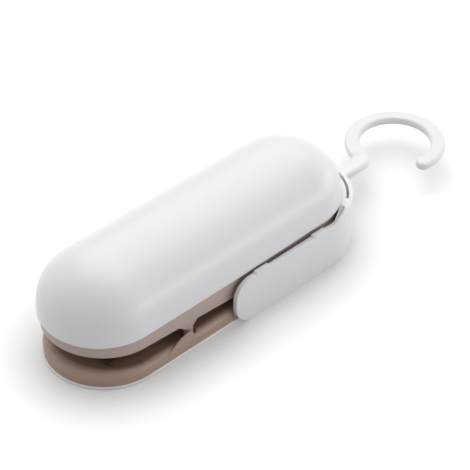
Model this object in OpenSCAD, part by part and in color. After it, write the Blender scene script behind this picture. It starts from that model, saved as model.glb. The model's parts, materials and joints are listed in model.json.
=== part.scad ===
// Hand-held bag sealer: a press arm with two cells and a heating line, hinged in a base with a silicone pad.
// Millimetres, +X towards the hook, +Z up, origin in the middle of the face that it rests on.

/* [Cells] */
// Diameter of one cell
cell_d = 14.2; // [13.5:0.1:14.6]
// Length of one cell with its nub
cell_l = 50.5; // [48:0.1:52]
// Gap between the two cells
cell_gap = 0.8; // [0.4:0.1:2]
// Diameter of a cell's nub
nub_d = 5.2; // [4:0.1:6]
// Height of a cell's nub
nub_h = 1.2; // [0.8:0.1:1.6]
// Distance from a cell's end to the face of its contact plate
contact_l = 2; // [1.6:0.1:3]
// Thickness of the contact plates
plate_t = 0.5; // [0.3:0.1:0.8]

/* [Top shell] */
// Length from the shell's front to the cells
nose_l = 44.7; // [43:0.1:55]
// Length from the cells to the shell's rear
tail_l = 16.8; // [15.5:0.1:22]
// Wall of the top shell
shell_wall = 1.75; // [1.2:0.05:2.2]
// Height of the straight wall under the dome
shell_skirt = 1.5; // [0.5:0.1:3]
// Room between the cells and the crown of the dome
dome_head = 4.75; // [3.5:0.05:9]
// Fullness of the dome's section, 2 for an ellipse
dome_n = 2.23; // [2:0.01:2.6]
// Rise of the shell's edge from the band's tongue to the rear
shell_rise = 1.2; // [0:0.1:1.5]

/* [Upper frame] */
// Room between a cell and the frame's wall
cell_side = 1.3; // [1:0.1:3]
// Wall of the lip that the shell fits over
lip_wall = 1.4; // [1:0.1:2]
// Height of that lip above the shell's edge
lip_h = 3; // [1.5:0.1:4]
// How far the frame's outside stands in from the shell's
strip_inset = 0.9; // [0.4:0.1:1.5]
// Thickness of the frame's floor
floor_t = 1.6; // [1.2:0.1:2.4]
// Thickness of the walls behind the contact plates
bulkhead_t = 1.5; // [1:0.1:2]
// Height of those walls above the cells' axes
bulkhead_rise = 3.5; // [1:0.1:5]
// Thickness of the ribs that carry the cells
rib_t = 2; // [1.2:0.1:3]

/* [Base] */
// How far the shell's nose stands out in front of the base
shell_over = 1; // [0:0.1:2]
// How far the base reaches behind the shell
shell_back = 2.4; // [2.2:0.1:6]
// How far the rim stands out past the shell's side
rim_out = 0.1; // [0:0.05:0.4]
// Thickness of the base cover's rim
base_t = 1; // [0.9:0.1:1.4]
// Height of the step on it that stands inside the lower jaw
step_h = 0.8; // [0.5:0.1:1]
// Radius of the base cover's bottom edge
base_edge_r = 0.5; // [0.3:0.1:0.8]
// How far the lower jaw's wall stands in from the rim
jaw_inset = 0.4; // [0.3:0.1:1.2]
// Height of the lower jaw above the base cover
jaw_h = 4.7; // [4.4:0.1:8]
// Wall of the lower jaw
jaw_wall = 1.6; // [1.4:0.1:2]
// Thickness of the lower jaw's deck
deck_t = 1.6; // [1.2:0.1:2]
// Radius of the lower jaw's top edge
jaw_edge_r = 2.3; // [0.5:0.1:2.4]

/* [Hinge] */
// Diameter of the hinge pin
pin_d = 3; // [2:0.1:4]
// Distance from the pin to the cells' rear ends
pivot_in = 7.1; // [6:0.1:10]
// Angle that the mouth stands open
open_angle = 3.4; // [2.5:0.1:4]
// Height of the upper jaw's face above the deck when shut
shut_gap = 1.85; // [1.6:0.05:3]
// Wall round the pin
boss_wall = 2.5; // [1.5:0.1:3]
// Diameter of the return spring
spring_d = 6; // [5:0.1:7]
// Wire of the return spring
spring_wire = 0.7; // [0.5:0.05:0.9]
// Turns of the return spring
spring_turns = 7; // [4:1:7]
// Distance from the pin to the return spring
spring_arm = 25.4; // [22:0.1:28]

/* [Bag stops] */
// Distance from the rim's front to the middle of a bag stop's prong
tooth_in = 36.4; // [32:0.1:40]
// Length of a bag stop's front flank
flank_front = 3.5; // [2:0.1:5]
// Length of its rear flank
flank_rear = 1.6; // [1:0.1:4]
// Height of its flanks
flank_h = 2.7; // [1.5:0.1:3]
// Width of its prong
prong_w = 2.4; // [1.8:0.1:3.2]
// Thickness of its prong
prong_t = 1.6; // [1:0.1:2]
// How far the prong reaches below the deck's top
prong_dip = 0.4; // [0.2:0.1:0.6]
// Width of the rib on the lower jaw that hides the prong
rib_w = 2.3; // [1.8:0.1:3]
// Radius of the rib's hollow flanks
rib_r = 4.2; // [3:0.1:5]
// How far the rib stands in front of the prong
rib_ahead = 0.9; // [0:0.1:1.2]

/* [Heater and pad] */
// Distance from the shell's front to the heating line
heater_in = 13.7; // [13:0.1:16]
// Length of the heating line's holder
holder_l = 24; // [18:0.1:24.4]
// Width of the holder where it stands in the jaw
holder_w = 8; // [6:0.1:8]
// Width of the heating strip
ribbon_w = 2.4; // [1.5:0.1:4]
// Thickness of the heating strip
ribbon_t = 0.25; // [0.2:0.01:0.4]
// Thickness of the release film
film_t = 0.2; // [0.15:0.01:0.4]
// How far the holder stands out of the jaw's face
holder_out = 0.35; // [0.2:0.05:0.6]
// Width of the silicone pad
pad_w = 6; // [4:0.1:8]
// Thickness of the silicone pad
pad_t = 2.6; // [2:0.1:3]

/* [Switch] */
// Side of the switch body
switch_w = 8.6; // [7:0.1:8.8]
// Height of the switch body
switch_h = 5.6; // [5:0.1:7]
// Diameter of the plunger
plunger_d = 3.8; // [3:0.1:4.4]
// How far the plunger stands out of the jaw's face
plunger_out = 2.6; // [1.5:0.1:3]

/* [Rear band] */
// Gap between the rim and the band
band_gap = 0.4; // [0.4:0.1:1]
// Wall of the band
band_wall = 1.4; // [1.4:0.1:2.5]
// Height of the band's top edge below the shell's edge
band_under = 0.6; // [0.2:0.05:1.5]
// Distance from the rim's front to the band's tongue
tongue_in = 52.4; // [48:0.1:56]
// Radius of the tongue's upper corner
tongue_top_r = 6.5; // [2:0.1:8]
// Radius of the tongue's lower corner
tongue_low_r = 7; // [2:0.1:8]
// Distance from the rim's front to the first nub on the band's top edge
stud_in = 63.5; // [62:0.1:68]
// Distance between the nubs
stud_gap = 24.4; // [20:0.1:26]
// Length of the nubs
stud_l = 5.4; // [3:0.1:8]
// Height of the nubs
stud_h = 0.6; // [0.3:0.1:1.2]
// Rise of the top edge at the band's heel
heel_rise = 1.35; // [0.5:0.05:2]
// Length over which that edge rises
heel_slope = 8; // [4:0.1:9]
// Width of the slit in the heel
slit_w = 0.9; // [0.6:0.05:1]
// Depth of the slit
slit_h = 4; // [2:0.1:5]
// Half of the angle that the slit covers
slit_turn = 54; // [40:1:58]
// How far the heel's lip reaches under the shell's end
heel_tuck = 0.4; // [0.1:0.1:0.5]

/* [Hook] */
// Width of the hook's rod
hook_w = 4.9; // [3:0.1:5]
// Height of the hook's rod
hook_h = 2.7; // [2.2:0.1:4.5]
// Radius of the rod's edges
hook_corner_r = 1; // [0.5:0.1:1.4]
// Radius of the hook at the middle of its rod
hook_r = 14.1; // [11:0.1:18]
// Distance from the band to the middle of the hook
hook_reach = 30; // [26:0.1:40]
// Radius of the bend between stem and hook
hook_bend_r = 3.6; // [2.6:0.1:5]
// Angle of the hook's tip, counted from the rear
hook_tip = -97; // [-120:1:-60]
// Diameter of the hook's journal
journal_d = 3.4; // [2.6:0.1:3.4]
// Height of the hook's boss above the lower jaw
hook_lift = 1.25; // [0.8:0.05:2]

/* [Screws] */
// Diameter of the base screws
screw_d = 2; // [1.6:0.1:2.4]
// Diameter of the base screws' heads
screw_head_d = 3.8; // [3:0.1:4.4]

/* [Hidden] */
$fn = 96;

// Clearances
fit_gap = 0.15;
run_gap = 0.05;
press_gap = 0.02;
seat_gap = 0.05;
move_gap = 0.3;
cut = 1;
reach = 300;

// Radii of the nested pill shapes, from the cells outwards
bay_r = cell_gap / 2 + cell_d + cell_side;
lip_r = bay_r + lip_wall;
shell_r = lip_r + fit_gap + shell_wall;
strip_r = shell_r - strip_inset;
rim_r = shell_r + rim_out;
jaw_r = rim_r - jaw_inset;
jaw_in_r = jaw_r - jaw_wall;
step_r = jaw_in_r - fit_gap;
band_in_r = rim_r + band_gap;
band_mid_r = band_in_r + band_wall / 2;
band_out_r = band_in_r + band_wall;
slit_bite = 0.2;
slit_out_r = band_in_r + slit_bite;
slit_in_r = slit_out_r - slit_w;

// Places along the length
shell_l = nose_l + cell_l + tail_l;
base_l = shell_l - shell_over + shell_back;
base_front = -base_l / 2;
shell_front = base_front - shell_over;
shell_rear = shell_front + shell_l;
shell_c1 = shell_front + shell_r;
shell_c2 = shell_rear - shell_r;
base_c1 = base_front + rim_r;
base_c2 = -base_front - rim_r;
cell_front = shell_front + nose_l;
cell_rear = cell_front + cell_l;
pivot_x = cell_rear - pivot_in;
spring_x = pivot_x - spring_arm;
heater_x = shell_front + heater_in;
tooth_x = base_front + tooth_in;
tongue_x = base_front + tongue_in;
stud_places = [base_front + stud_in, base_front + stud_in + stud_gap];
band_rear = base_c2 + band_out_r;

// Heights
pin_under = 1.35;
pin_over = 0.9;
boss_over = 0.65;
step_z = base_t + step_h;
jaw_top = base_t + jaw_h;
deck_low = jaw_top - deck_t;
face_drop = floor_t + pin_under + pin_d / 2;
pivot_z = jaw_top + shut_gap + face_drop;
boss_r = pin_d / 2 + boss_wall;
shell_z = pivot_z + boss_r + boss_over;
lip_z = shell_z + lip_h;
cell_y = (cell_gap + cell_d) / 2;
cell_z = pivot_z + pin_d / 2 + pin_over + cell_d / 2;
cell_side_y = cell_y + cell_d / 2;
dome_z = shell_z + shell_skirt;
dome_h = cell_z + cell_d / 2 + dome_head + shell_wall - dome_z;
dome_steps = 20;
band_z = shell_z - band_under;
heel_z = band_z + heel_rise;
slit_floor = 2;
heel_h = slit_h + slit_floor;
heel_web = 12;

// Pin, bosses and spring pockets
boss_lap = 1.2;
boss_in = cell_side_y - boss_lap;
cheek_in = strip_r + move_gap;
cheek_wall = 1.3;
cheek_r = pin_d / 2 + cheek_wall;
pin_cover = 1.1;
pin_half = band_out_r - pin_cover;
spring_r = (spring_d - spring_wire) / 2;
pocket_r = spring_d / 2 + move_gap;
pocket_wall = 1.3;
pocket_floor = 0.6;
pocket_roof = 2;
pocket_low = step_z + pocket_floor;
pocket_high = cell_z - cell_d / 2 - pocket_roof;

// Bag stops
prong_in = 0.5;
prong_y = strip_r - prong_in;
prong_z = jaw_top - prong_dip;
rib_z = jaw_top - jaw_edge_r;
neck_z = face_z(tooth_x) - flank_h;
neck_low = neck_z - (pivot_x - tooth_x) * sin(open_angle) - move_gap;
prong_swing = (pivot_z - prong_z) * sin(open_angle) + (pivot_x - tooth_x) * (1 - cos(open_angle));

// Heater and pad, in the shut pose
pad_z = jaw_top + shut_gap - holder_out - ribbon_t - film_t - seat_gap;
pad_l = holder_l;
film_in = 0.5;
flange_back = 13;
flange_h = 1.2;
ribbon_in = 1.5;
ribbon_l = holder_l - 2 * ribbon_in;
terminal_w = 4;
terminal_d = 2.8;
terminal_t = 0.5;
terminal_h = 2.5;
heater_screw_back = 7;
heater_screw_x = heater_x + heater_screw_back;
heater_screw_y = 7;
heater_screw_d = 1.6;
heater_screw_l = 1.1;
heater_head_d = 3;
heater_head_h = 0.8;

// Cross slots of the screws, as a share of the head and as sizes
slot_share = 0.6;
slot_w = 0.5;
slot_h = 0.5;

// Switch, in the shut pose
switch_seat = 0.4;
switch_x = cell_front - contact_l - plate_t - bulkhead_t - switch_w / 2 - switch_seat;
switch_roof = 0.6;
post_in = 0.2;
post_r = plunger_d / 2 - post_in;
post_gap = 0.1;
post_z = pivot_z + (pivot_x - switch_x) * sin(open_angle)
    - (face_drop + plunger_out) * cos(open_angle) - post_gap;
plunger_top = 2.9;
plunger_edge = 0.5;
tab_w = 2;
tab_t = 0.5;
tab_l = 2.5;
tab_z = 2.8;

// Walls and plates at the ends of the cells
front_face = cell_front - contact_l;
rear_face = cell_rear + contact_l;
plate_in = 1.6;
plate_down = 6;
plate_up = 5;
plate_low = cell_z - plate_down;
plate_high = cell_z + plate_up;
link_h = 4;
dimple_in = 0.2;
rib_in = 8;
rib_back = 9;
rear_gap = 0.4;
rear_x = rear_face + plate_t + bulkhead_t + rear_gap;

// Hook and its seat
journal_r = journal_d / 2;
journal_l = 2;
hook_boss_wall = 1.5;
hook_boss_l = 8.7;
hook_boss_r = journal_r + hook_boss_wall;
hook_z = jaw_top + hook_lift + hook_boss_r;
hook_boss_x = band_rear - hook_boss_l;
hook_x = band_rear + hook_reach;
stem_x = band_rear + move_gap;
bend_x = hook_x - sqrt(pow(hook_r + hook_bend_r, 2) - pow(hook_bend_r, 2));
bend_turn = acos(hook_bend_r / (hook_r + hook_bend_r));
lug_out = 1;
lug_r = journal_r + lug_out;
lug_l = 0.8;
lug_at = 90;
lug_turn = 24;
lug_play = 6;
hook_swing = 180;
clip_t = 0.6;
clip_out = 1.3;
clip_in = 0.5;
clip_r = journal_r + clip_out;
clip_in_r = journal_r - clip_in;
rear_z_gap = 1;
rear_z = hook_z + hook_boss_r + rear_z_gap;

// Base screws
front_screw_back = 9.4;
front_screw_in = 4.1;
rear_screw_in = 2.9;
rear_screw_front = 1.4;
front_screw_x = base_c1 + front_screw_back;
front_screw_y = jaw_in_r - front_screw_in;
rear_screw_x = base_c2 - rear_screw_front;
rear_screw_y = jaw_in_r - rear_screw_in;
screw_boss_wall = 1.6;
screw_boss_r = screw_d / 2 + screw_boss_wall;
screw_head_h = 0.8;
screw_sink = 0.15;
screw_cover = 0.9;
screw_end = jaw_top - screw_cover;
flange_in_r = rear_screw_y - screw_boss_r - move_gap;
screw_places = [
    for (s = [-1, 1]) each [[front_screw_x, s * front_screw_y], [rear_screw_x, s * rear_screw_y]]
];

// Leads, which lie in the frame's lower corners
lead_d = 1.4;
lead_sides = 8;
lead_y = 12.2;
lead_z = 14.4;
lead_gap = 0.2;
plus_route = [
    [39.5, -12.2, 14.4], [36, -12.2, 14.4], [30, -12.2, 14.4], [20, -12.2, 14.4], [10, -12.2, 14.4],
    [0, -12.2, 14.4], [-10, -12.2, 14.4], [-16, -12.2, 14.4], [-18.5, -12, 14.6], [-20.5, -11.2, 14.9],
    [-21.7, -9.6, 15.1], [-21.9, -8, 15.1], [-21.9, -6.8, 15.1]
];
minus_route = [
    [39.5, 12.2, 14.4], [36, 12.2, 14.4], [30, 12.2, 14.4], [20, 12.2, 14.4], [10, 12.2, 14.4],
    [0, 12.2, 14.4], [-10, 12.2, 14.4], [-16, 12.2, 14.4], [-22, 12.2, 14.9], [-28, 12, 16],
    [-34, 11.4, 17], [-38, 10.7, 17.1], [-40, 10.5, 17.1], [-41.4, 10.5, 17.1]
];
heater_route = [
    [-28.6, 0, 15.5], [-30, 0, 15.5], [-31.6, -0.6, 15.8], [-33, -2.2, 16.3], [-34.2, -4.4, 16.8],
    [-35.4, -7, 17.1], [-36.8, -9.2, 17.1], [-38.4, -10.2, 17.1], [-40, -10.5, 17.1], [-41.4, -10.5, 17.1]
];

// Shared outlines and sweeps

// Pill-shaped outline with the end centres c1 and c2
module pill(c1, c2, r) {
    translate([c1, -r]) square([c2 - c1, 2 * r]);
    for (x = [c1, c2]) translate([x, 0]) circle(r);
}

// Solid of a half section carried round a pill-shaped plan
module pill_turned(c1, c2, section) {
    translate([c1, 0, 0]) rotate([0, 0, 90]) rotate_extrude(angle = 180) polygon(section);
    translate([c2, 0, 0]) rotate([0, 0, -90]) rotate_extrude(angle = 180) polygon(section);
    translate([c1, 0, 0]) rotate([90, 0, 90]) linear_extrude(c2 - c1) {
        polygon(section);
        mirror([1, 0]) polygon(section);
    }
}

// Round bar along Y between two ends
module bar_y(r, y1, y2) {
    translate([0, y1, 0]) rotate([-90, 0, 0]) cylinder(r = r, h = y2 - y1);
}

// Round bar along X
module bar_x(r, l) {
    rotate([0, 90, 0]) cylinder(r = r, h = l);
}

// Block centred on X and Y that starts at a height
module block(size, z) {
    translate([-size[0] / 2, -size[1] / 2, z]) cube(size);
}

// Places a piece on the upper jaw's face, at the X that it has when the mouth is shut
module on_face(x) {
    translate([pivot_x, 0, pivot_z])
        rotate([0, open_angle, 0])
            translate([x - pivot_x, 0, -face_drop])
                children();
}

// Height of the upper jaw's face at a place along the length, with the mouth open
function face_z(x) = pivot_z + (pivot_x - x) * tan(open_angle) - face_drop / cos(open_angle);

// Points of a rounded corner from one angle to another
function arc(c, r, a1, a2, n = 8) =
    [for (i = [0:n]) c + r * [cos(a1 + (a2 - a1) * i / n), sin(a1 + (a2 - a1) * i / n)]];

// Half section of the dome above its skirt
function dome(r, h, low) = concat(
    [[0, low], [r, low]],
    [
        for (i = [0:dome_steps])
            let (t = 90 * i / dome_steps)
                [r * pow(cos(t), 2 / dome_n), dome_z + h * pow(sin(t), 2 / dome_n)]
    ]
);

// One tube along a row of points
function unit(v) = v / norm(v);
function heading(p, i) = unit(p[min(i + 1, len(p) - 1)] - p[max(i - 1, 0)]);
function ring(c, d, up, r, n) =
    let (u = unit(cross(d, up)), v = cross(u, d))
        [for (k = [0:n - 1]) c + r * (cos(360 * k / n) * u + sin(360 * k / n) * v)];

module tube(p, r, n, up) {
    last = len(p) - 1;
    points = [for (i = [0:last]) each ring(p[i], heading(p, i), up, r, n)];
    sides = [
        for (i = [0:last - 1], k = [0:n - 1])
            let (a = i * n + k, b = i * n + (k + 1) % n)
                each [[a, b, b + n], [a, b + n, a + n]]
    ];
    first_cap = [for (k = [1:n - 2]) [0, k + 1, k]];
    last_cap = [for (k = [1:n - 2]) [last * n, last * n + k, last * n + k + 1]];
    polyhedron(points, concat(sides, first_cap, last_cap));
}

// Points of a coil along +Z that narrows from one radius to the other
curl_rings = 8;
wire_sides = 6;
function coil(r1, r2, l, turns) = [
    for (i = [0:turns * curl_rings])
        let (t = i / (turns * curl_rings), a = 360 * i / curl_rings, r = r1 + (r2 - r1) * t)
            [r * cos(a), r * sin(a), l * t]
];

// Least gap between the turns of a coil
function coil_gap(p, wire) = min([
    for (i = [0:len(p) - 1], j = [i + curl_rings / 2:1:len(p) - 1]) norm(p[i] - p[j])
]) - wire;

return_coil = coil(spring_r, spring_r, pocket_high - pocket_low - spring_wire, spring_turns);
contact_r = 4.2;
contact_tip_r = 2.4;
contact_wire = 0.5;
contact_turns = 2;
contact_coil = coil(contact_r, contact_tip_r, contact_l - contact_wire, contact_turns);
echo(return_spring_gap = coil_gap(return_coil, spring_wire));
echo(contact_spring_gap = coil_gap(contact_coil, contact_wire));

// Base

module screw_sinks() {
    for (p = screw_places) translate([p[0], p[1], 0]) {
        translate([0, 0, -cut]) cylinder(d = screw_head_d + 2 * fit_gap, h = cut + screw_sink);
        translate([0, 0, screw_sink])
            cylinder(d1 = screw_head_d + 2 * fit_gap, d2 = screw_d + 2 * fit_gap, h = screw_head_h);
        cylinder(d = screw_d + 2 * fit_gap, h = step_z + cut);
    }
}

module flange_plan(outer, inner) {
    difference() {
        pill(tongue_x + tongue_low_r, base_c2, outer);
        pill(tongue_x, base_c2, inner);
        translate([-reach + tongue_x + tongue_low_r, -reach / 2]) square(reach);
    }
}

module base_cover() {
    section = concat(
        [[0, 0]],
        arc([rim_r - base_edge_r, base_edge_r], base_edge_r, -90, 0),
        [[rim_r, base_t], [step_r, base_t], [step_r, step_z], [0, step_z]]
    );
    color("white") difference() {
        pill_turned(base_c1, base_c2, section);
        translate([0, 0, -cut]) linear_extrude(base_t + cut)
            flange_plan(rim_r + cut, flange_in_r - fit_gap);
        screw_sinks();
    }
}

// Slot that a bag stop dips into, with a mouth that its flanks fall into
module stop_slot() {
    front = -prong_w / 2 - move_gap;
    rear = prong_w / 2 + prong_swing + move_gap;
    high = jaw_top + cut;
    rise = (high - neck_low) / flank_h;
    rotate([90, 0, 0]) linear_extrude(prong_t + 2 * move_gap, center = true) polygon([
        [front, base_t - cut], [rear, base_t - cut], [rear, neck_low], [rear + rise * flank_rear, high],
        [front - rise * flank_front, high], [front, neck_low]
    ]);
}

// Side view of a rib on the lower jaw's edge, in front of a bag stop's prong
module rib_side() {
    half = rib_w / 2 + rib_r;
    difference() {
        translate([-half, base_t]) square([2 * half, rib_z + rib_r - base_t]);
        for (s = [-1, 1]) translate([s * half, rib_z + rib_r]) circle(rib_r);
    }
}

module lower_jaw() {
    section = concat(
        [[0, base_t], [jaw_r, base_t]],
        arc([jaw_r - jaw_edge_r, jaw_top - jaw_edge_r], jaw_edge_r, 0, 90),
        [[0, jaw_top]]
    );
    seat = pad_z - pad_t;
    color("#8f7a6c") difference() {
        union() {
            difference() {
                pill_turned(base_c1, base_c2, section);
                translate([0, 0, base_t - cut]) linear_extrude(deck_low - base_t + cut)
                    pill(base_c1, base_c2, jaw_in_r);
            }
            for (p = screw_places) translate([p[0], p[1], step_z])
                cylinder(r = screw_boss_r, h = deck_low - step_z);
            translate([spring_x, 0, step_z]) cylinder(r = pocket_r + pocket_wall, h = deck_low - step_z);
            for (s = [0, 1]) mirror([0, s, 0]) translate([tooth_x - rib_ahead, jaw_r, 0]) rotate([90, 0, 0])
                linear_extrude(jaw_r - cheek_in) rib_side();
            translate([heater_x, 0, 0])
                block([pad_w + 2 * jaw_wall, pad_l + 2 * jaw_wall, jaw_top - seat], seat - deck_t);
            translate([switch_x, 0, deck_low]) cylinder(r = post_r, h = post_z - deck_low);
        }
        for (p = screw_places) translate([p[0], p[1], base_t - cut])
            cylinder(d = screw_d + 2 * press_gap, h = screw_end - base_t + cut + seat_gap);
        translate([spring_x, 0, pocket_low]) cylinder(r = pocket_r, h = jaw_h + cut);
        translate([heater_x, 0, 0])
            block([pad_w + 2 * press_gap, pad_l + 2 * press_gap, jaw_h + cut], seat);
        for (s = [-1, 1]) translate([tooth_x, s * (prong_y - prong_t / 2), 0]) stop_slot();
    }
}

// Plan of the band's outside or inside, which starts that far in front of the tongue
module band_plan(r, front) {
    translate([tongue_x - front, -r]) square([base_c2 - tongue_x + front, 2 * r]);
    translate([base_c2, 0]) circle(r);
}

// Side view of the band, with the tongue's two round corners
module band_side() {
    long = band_rear - tongue_x;
    translate([tongue_x, tongue_low_r]) square([long, band_z - tongue_low_r - tongue_top_r]);
    translate([tongue_x + tongue_top_r, band_z - tongue_top_r]) {
        circle(tongue_top_r);
        square([long, tongue_top_r]);
    }
    translate([tongue_x + tongue_low_r, tongue_low_r]) {
        circle(tongue_low_r);
        translate([0, -tongue_low_r]) square([long, tongue_low_r]);
    }
    polygon([
        [base_c2, band_z - cut], [band_rear, band_z - cut], [band_rear, heel_z],
        [base_c2 + heel_slope, heel_z], [base_c2, band_z]
    ]);
}

// Ring round the heel, of the given radii and heights
module heel_ring(r1, r2, z1, z2, turn) {
    translate([base_c2, 0, 0]) rotate([0, 0, -turn]) rotate_extrude(angle = 2 * turn)
        translate([r1, z1]) square([r2 - r1, z2 - z1]);
}

// Lip between the slit and the shell, whose inner face follows the shell's end
module heel_lip() {
    front = base_c2 + band_in_r * cos(slit_turn + heel_web);
    translate([0, 0, heel_z - heel_h]) linear_extrude(heel_h) difference() {
        intersection() {
            translate([base_c2, 0]) circle(band_mid_r);
            translate([front, -reach / 2]) square(reach);
        }
        pill(shell_c1, shell_c2, shell_r - heel_tuck);
    }
}

module rear_band() {
    color("white") difference() {
        union() {
            intersection() {
                linear_extrude(heel_z) difference() {
                    band_plan(band_out_r, cut);
                    band_plan(band_in_r, 2 * cut);
                }
                rotate([90, 0, 0]) linear_extrude(reach, center = true) band_side();
            }
            linear_extrude(base_t) flange_plan(band_mid_r, flange_in_r);
            for (s = [-1, 1], x = stud_places) translate([x, s * band_mid_r, 0])
                block([stud_l, band_wall, stud_h + cut], band_z - cut);
            heel_lip();
            translate([pivot_x, 0, pivot_z]) {
                bar_y(cheek_r, cheek_in, band_mid_r);
                bar_y(cheek_r, -band_mid_r, -cheek_in);
            }
            translate([hook_boss_x, 0, hook_z]) bar_x(hook_boss_r, base_c2 + band_mid_r - hook_boss_x);
        }
        heel_ring(slit_in_r, slit_out_r, heel_z - slit_h, heel_z + cut, slit_turn);
        translate([pivot_x, 0, pivot_z]) bar_y(pin_d / 2 + press_gap, -pin_half, pin_half);
        translate([hook_boss_x - cut, 0, hook_z]) bar_x(journal_r + run_gap, reach);
        translate([hook_boss_x, 0, hook_z]) rotate([0, 90, 0])
            rotate([0, 0, lug_at - lug_turn / 2 - lug_play]) translate([0, 0, -cut])
                rotate_extrude(angle = hook_swing + lug_turn + 2 * lug_play)
                    square([lug_r + fit_gap, lug_l + fit_gap + cut]);
        screw_sinks();
    }
}

module sealing_pad() {
    color("#4a3a33") translate([heater_x, 0, 0]) block([pad_w, pad_l, pad_t], pad_z - pad_t);
}

module hinge_pin() {
    half = pin_half - seat_gap;
    color("silver") translate([pivot_x, 0, pivot_z]) bar_y(pin_d / 2, -half, half);
}

module base_screws() {
    color("silver") for (p = screw_places) translate([p[0], p[1], screw_sink]) difference() {
        union() {
            cylinder(d1 = screw_head_d, d2 = screw_d, h = screw_head_h);
            cylinder(d = screw_d, h = screw_end - screw_sink);
        }
        for (a = [0, 90]) rotate([0, 0, a]) block([screw_head_d * slot_share, slot_w, slot_h + cut], -cut);
    }
}

module return_spring() {
    color("silver") translate([spring_x, 0, pocket_low + spring_wire / 2])
        tube(return_coil, spring_wire / 2, wire_sides, [0, 0, 1]);
}

// Press arm

module frame_bay() {
    difference() {
        linear_extrude(lip_z + cut) pill(shell_c1, shell_c2, bay_r);
        on_face(pivot_x) translate([-reach / 2, -reach / 2, -reach + floor_t]) cube(reach);
        translate([rear_x - floor_t, -reach / 2, 0]) cube([reach, reach, rear_z + floor_t]);
    }
}

module frame_underside() {
    on_face(pivot_x) translate([-reach / 2, -reach / 2, -reach]) cube(reach);
    translate([rear_x, -reach / 2, 0]) cube([reach, reach, rear_z]);
}

// Bag stop on one side, with flanks that fall to its prong
module bag_stop(s) {
    front = -prong_w / 2 - flank_front;
    rear = prong_w / 2 + flank_rear;
    roof = face_z(tooth_x) + floor_t;
    lean = strip_r - seat_gap;
    intersection() {
        translate([tooth_x, 0, 0]) rotate([90, 0, 0]) linear_extrude(reach, center = true) polygon([
            [-prong_w / 2, prong_z], [prong_w / 2, prong_z], [prong_w / 2, neck_z],
            [rear, face_z(tooth_x + rear)], [rear, roof], [front, roof],
            [front, face_z(tooth_x + front)], [-prong_w / 2, neck_z]
        ]);
        mirror([0, s < 0 ? 1 : 0, 0]) translate([tooth_x + front - cut, 0, 0]) rotate([90, 0, 90])
            linear_extrude(rear - front + 2 * cut) polygon([
                [prong_y - prong_t, prong_z], [prong_y, prong_z], [prong_y, neck_z], [lean, face_z(tooth_x)],
                [lean, roof], [prong_y - prong_t, roof]
            ]);
    }
}

module cell_bulkhead(x) {
    side = cell_side_y - plate_in;
    intersection() {
        translate([x, -side, 0]) cube([bulkhead_t, 2 * side, cell_z + bulkhead_rise]);
        on_face(pivot_x) translate([-reach / 2, -reach / 2, floor_t / 2]) cube(reach);
    }
}

module cell_rib(x) {
    difference() {
        intersection() {
            linear_extrude(cell_z - cell_d / 4) pill(shell_c1, shell_c2, bay_r + lip_wall / 2);
            translate([x, -reach / 2, 0]) cube([rib_t, reach, reach]);
            on_face(pivot_x) translate([-reach / 2, -reach / 2, floor_t / 2]) cube(reach);
        }
        for (s = [-1, 1]) translate([x - cut, s * cell_y, cell_z])
            bar_x(cell_d / 2 + fit_gap, rib_t + 2 * cut);
    }
}

module lead_notches() {
    for (s = [-1, 1]) translate([cell_front - nose_l / 2, s * lead_y, lead_z])
        bar_x(lead_d / 2 + lead_gap, nose_l / 2 + cell_l + contact_l);
}

module upper_frame() {
    color("#a3907f") difference() {
        union() {
            difference() {
                union() {
                    linear_extrude(shell_z) pill(shell_c1, shell_c2, strip_r);
                    linear_extrude(lip_z) pill(shell_c1, shell_c2, lip_r);
                }
                frame_bay();
                frame_underside();
            }
            for (s = [-1, 1]) bag_stop(s);
            cell_bulkhead(front_face - plate_t - bulkhead_t);
            cell_bulkhead(rear_face + plate_t);
            for (x = [cell_front + rib_in, pivot_x - rib_back]) cell_rib(x);
            translate([pivot_x, 0, pivot_z]) {
                bar_y(boss_r, boss_in, strip_r);
                bar_y(boss_r, -strip_r, -boss_in);
            }
            difference() {
                translate([spring_x, 0, pivot_z - face_drop])
                    cylinder(r = pocket_r + pocket_wall, h = pocket_high + pocket_wall - pivot_z + face_drop);
                frame_underside();
            }
        }
        translate([pivot_x, 0, pivot_z]) bar_y(pin_d / 2 + run_gap, -band_out_r, band_out_r);
        translate([spring_x, 0, 0]) cylinder(r = pocket_r, h = pocket_high);
        on_face(heater_x) block([holder_w + 2 * fit_gap, holder_l + 2 * fit_gap, floor_t + 2 * cut], -cut);
        on_face(heater_screw_x) for (s = [-1, 1])
            translate([0, s * heater_screw_y, floor_t - heater_screw_l - seat_gap])
                cylinder(d = heater_screw_d + 2 * press_gap, h = heater_screw_l + cut);
        on_face(switch_x) translate([0, 0, -cut])
            cylinder(d = plunger_d + 2 * fit_gap, h = floor_t + 2 * cut);
        lead_notches();
    }
}

module heater_holder() {
    color("#5b4636") on_face(heater_x) difference() {
        union() {
            block([holder_w, holder_l, holder_out + floor_t + flange_h], -holder_out);
            translate([-holder_w / 2, -holder_l / 2, floor_t]) cube([flange_back, holder_l, flange_h]);
        }
        for (s = [-1, 1]) translate([0, s * ribbon_l / 2, 0])
            block([ribbon_w + 2 * fit_gap, ribbon_t + 2 * fit_gap, floor_t + flange_h + 2 * cut], -cut);
        for (s = [-1, 1]) translate([heater_screw_x - heater_x, s * heater_screw_y, 0])
            cylinder(d = heater_screw_d + 2 * fit_gap, h = floor_t + flange_h + cut);
    }
}

module heating_strip() {
    top = floor_t + flange_h + terminal_t;
    color("#9a958c") on_face(heater_x) {
        block([ribbon_w, ribbon_l + ribbon_t, ribbon_t], -holder_out - ribbon_t);
        for (s = [-1, 1]) translate([0, s * ribbon_l / 2, 0])
            block([ribbon_w, ribbon_t, top + holder_out + ribbon_t], -holder_out - ribbon_t);
    }
}

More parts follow.
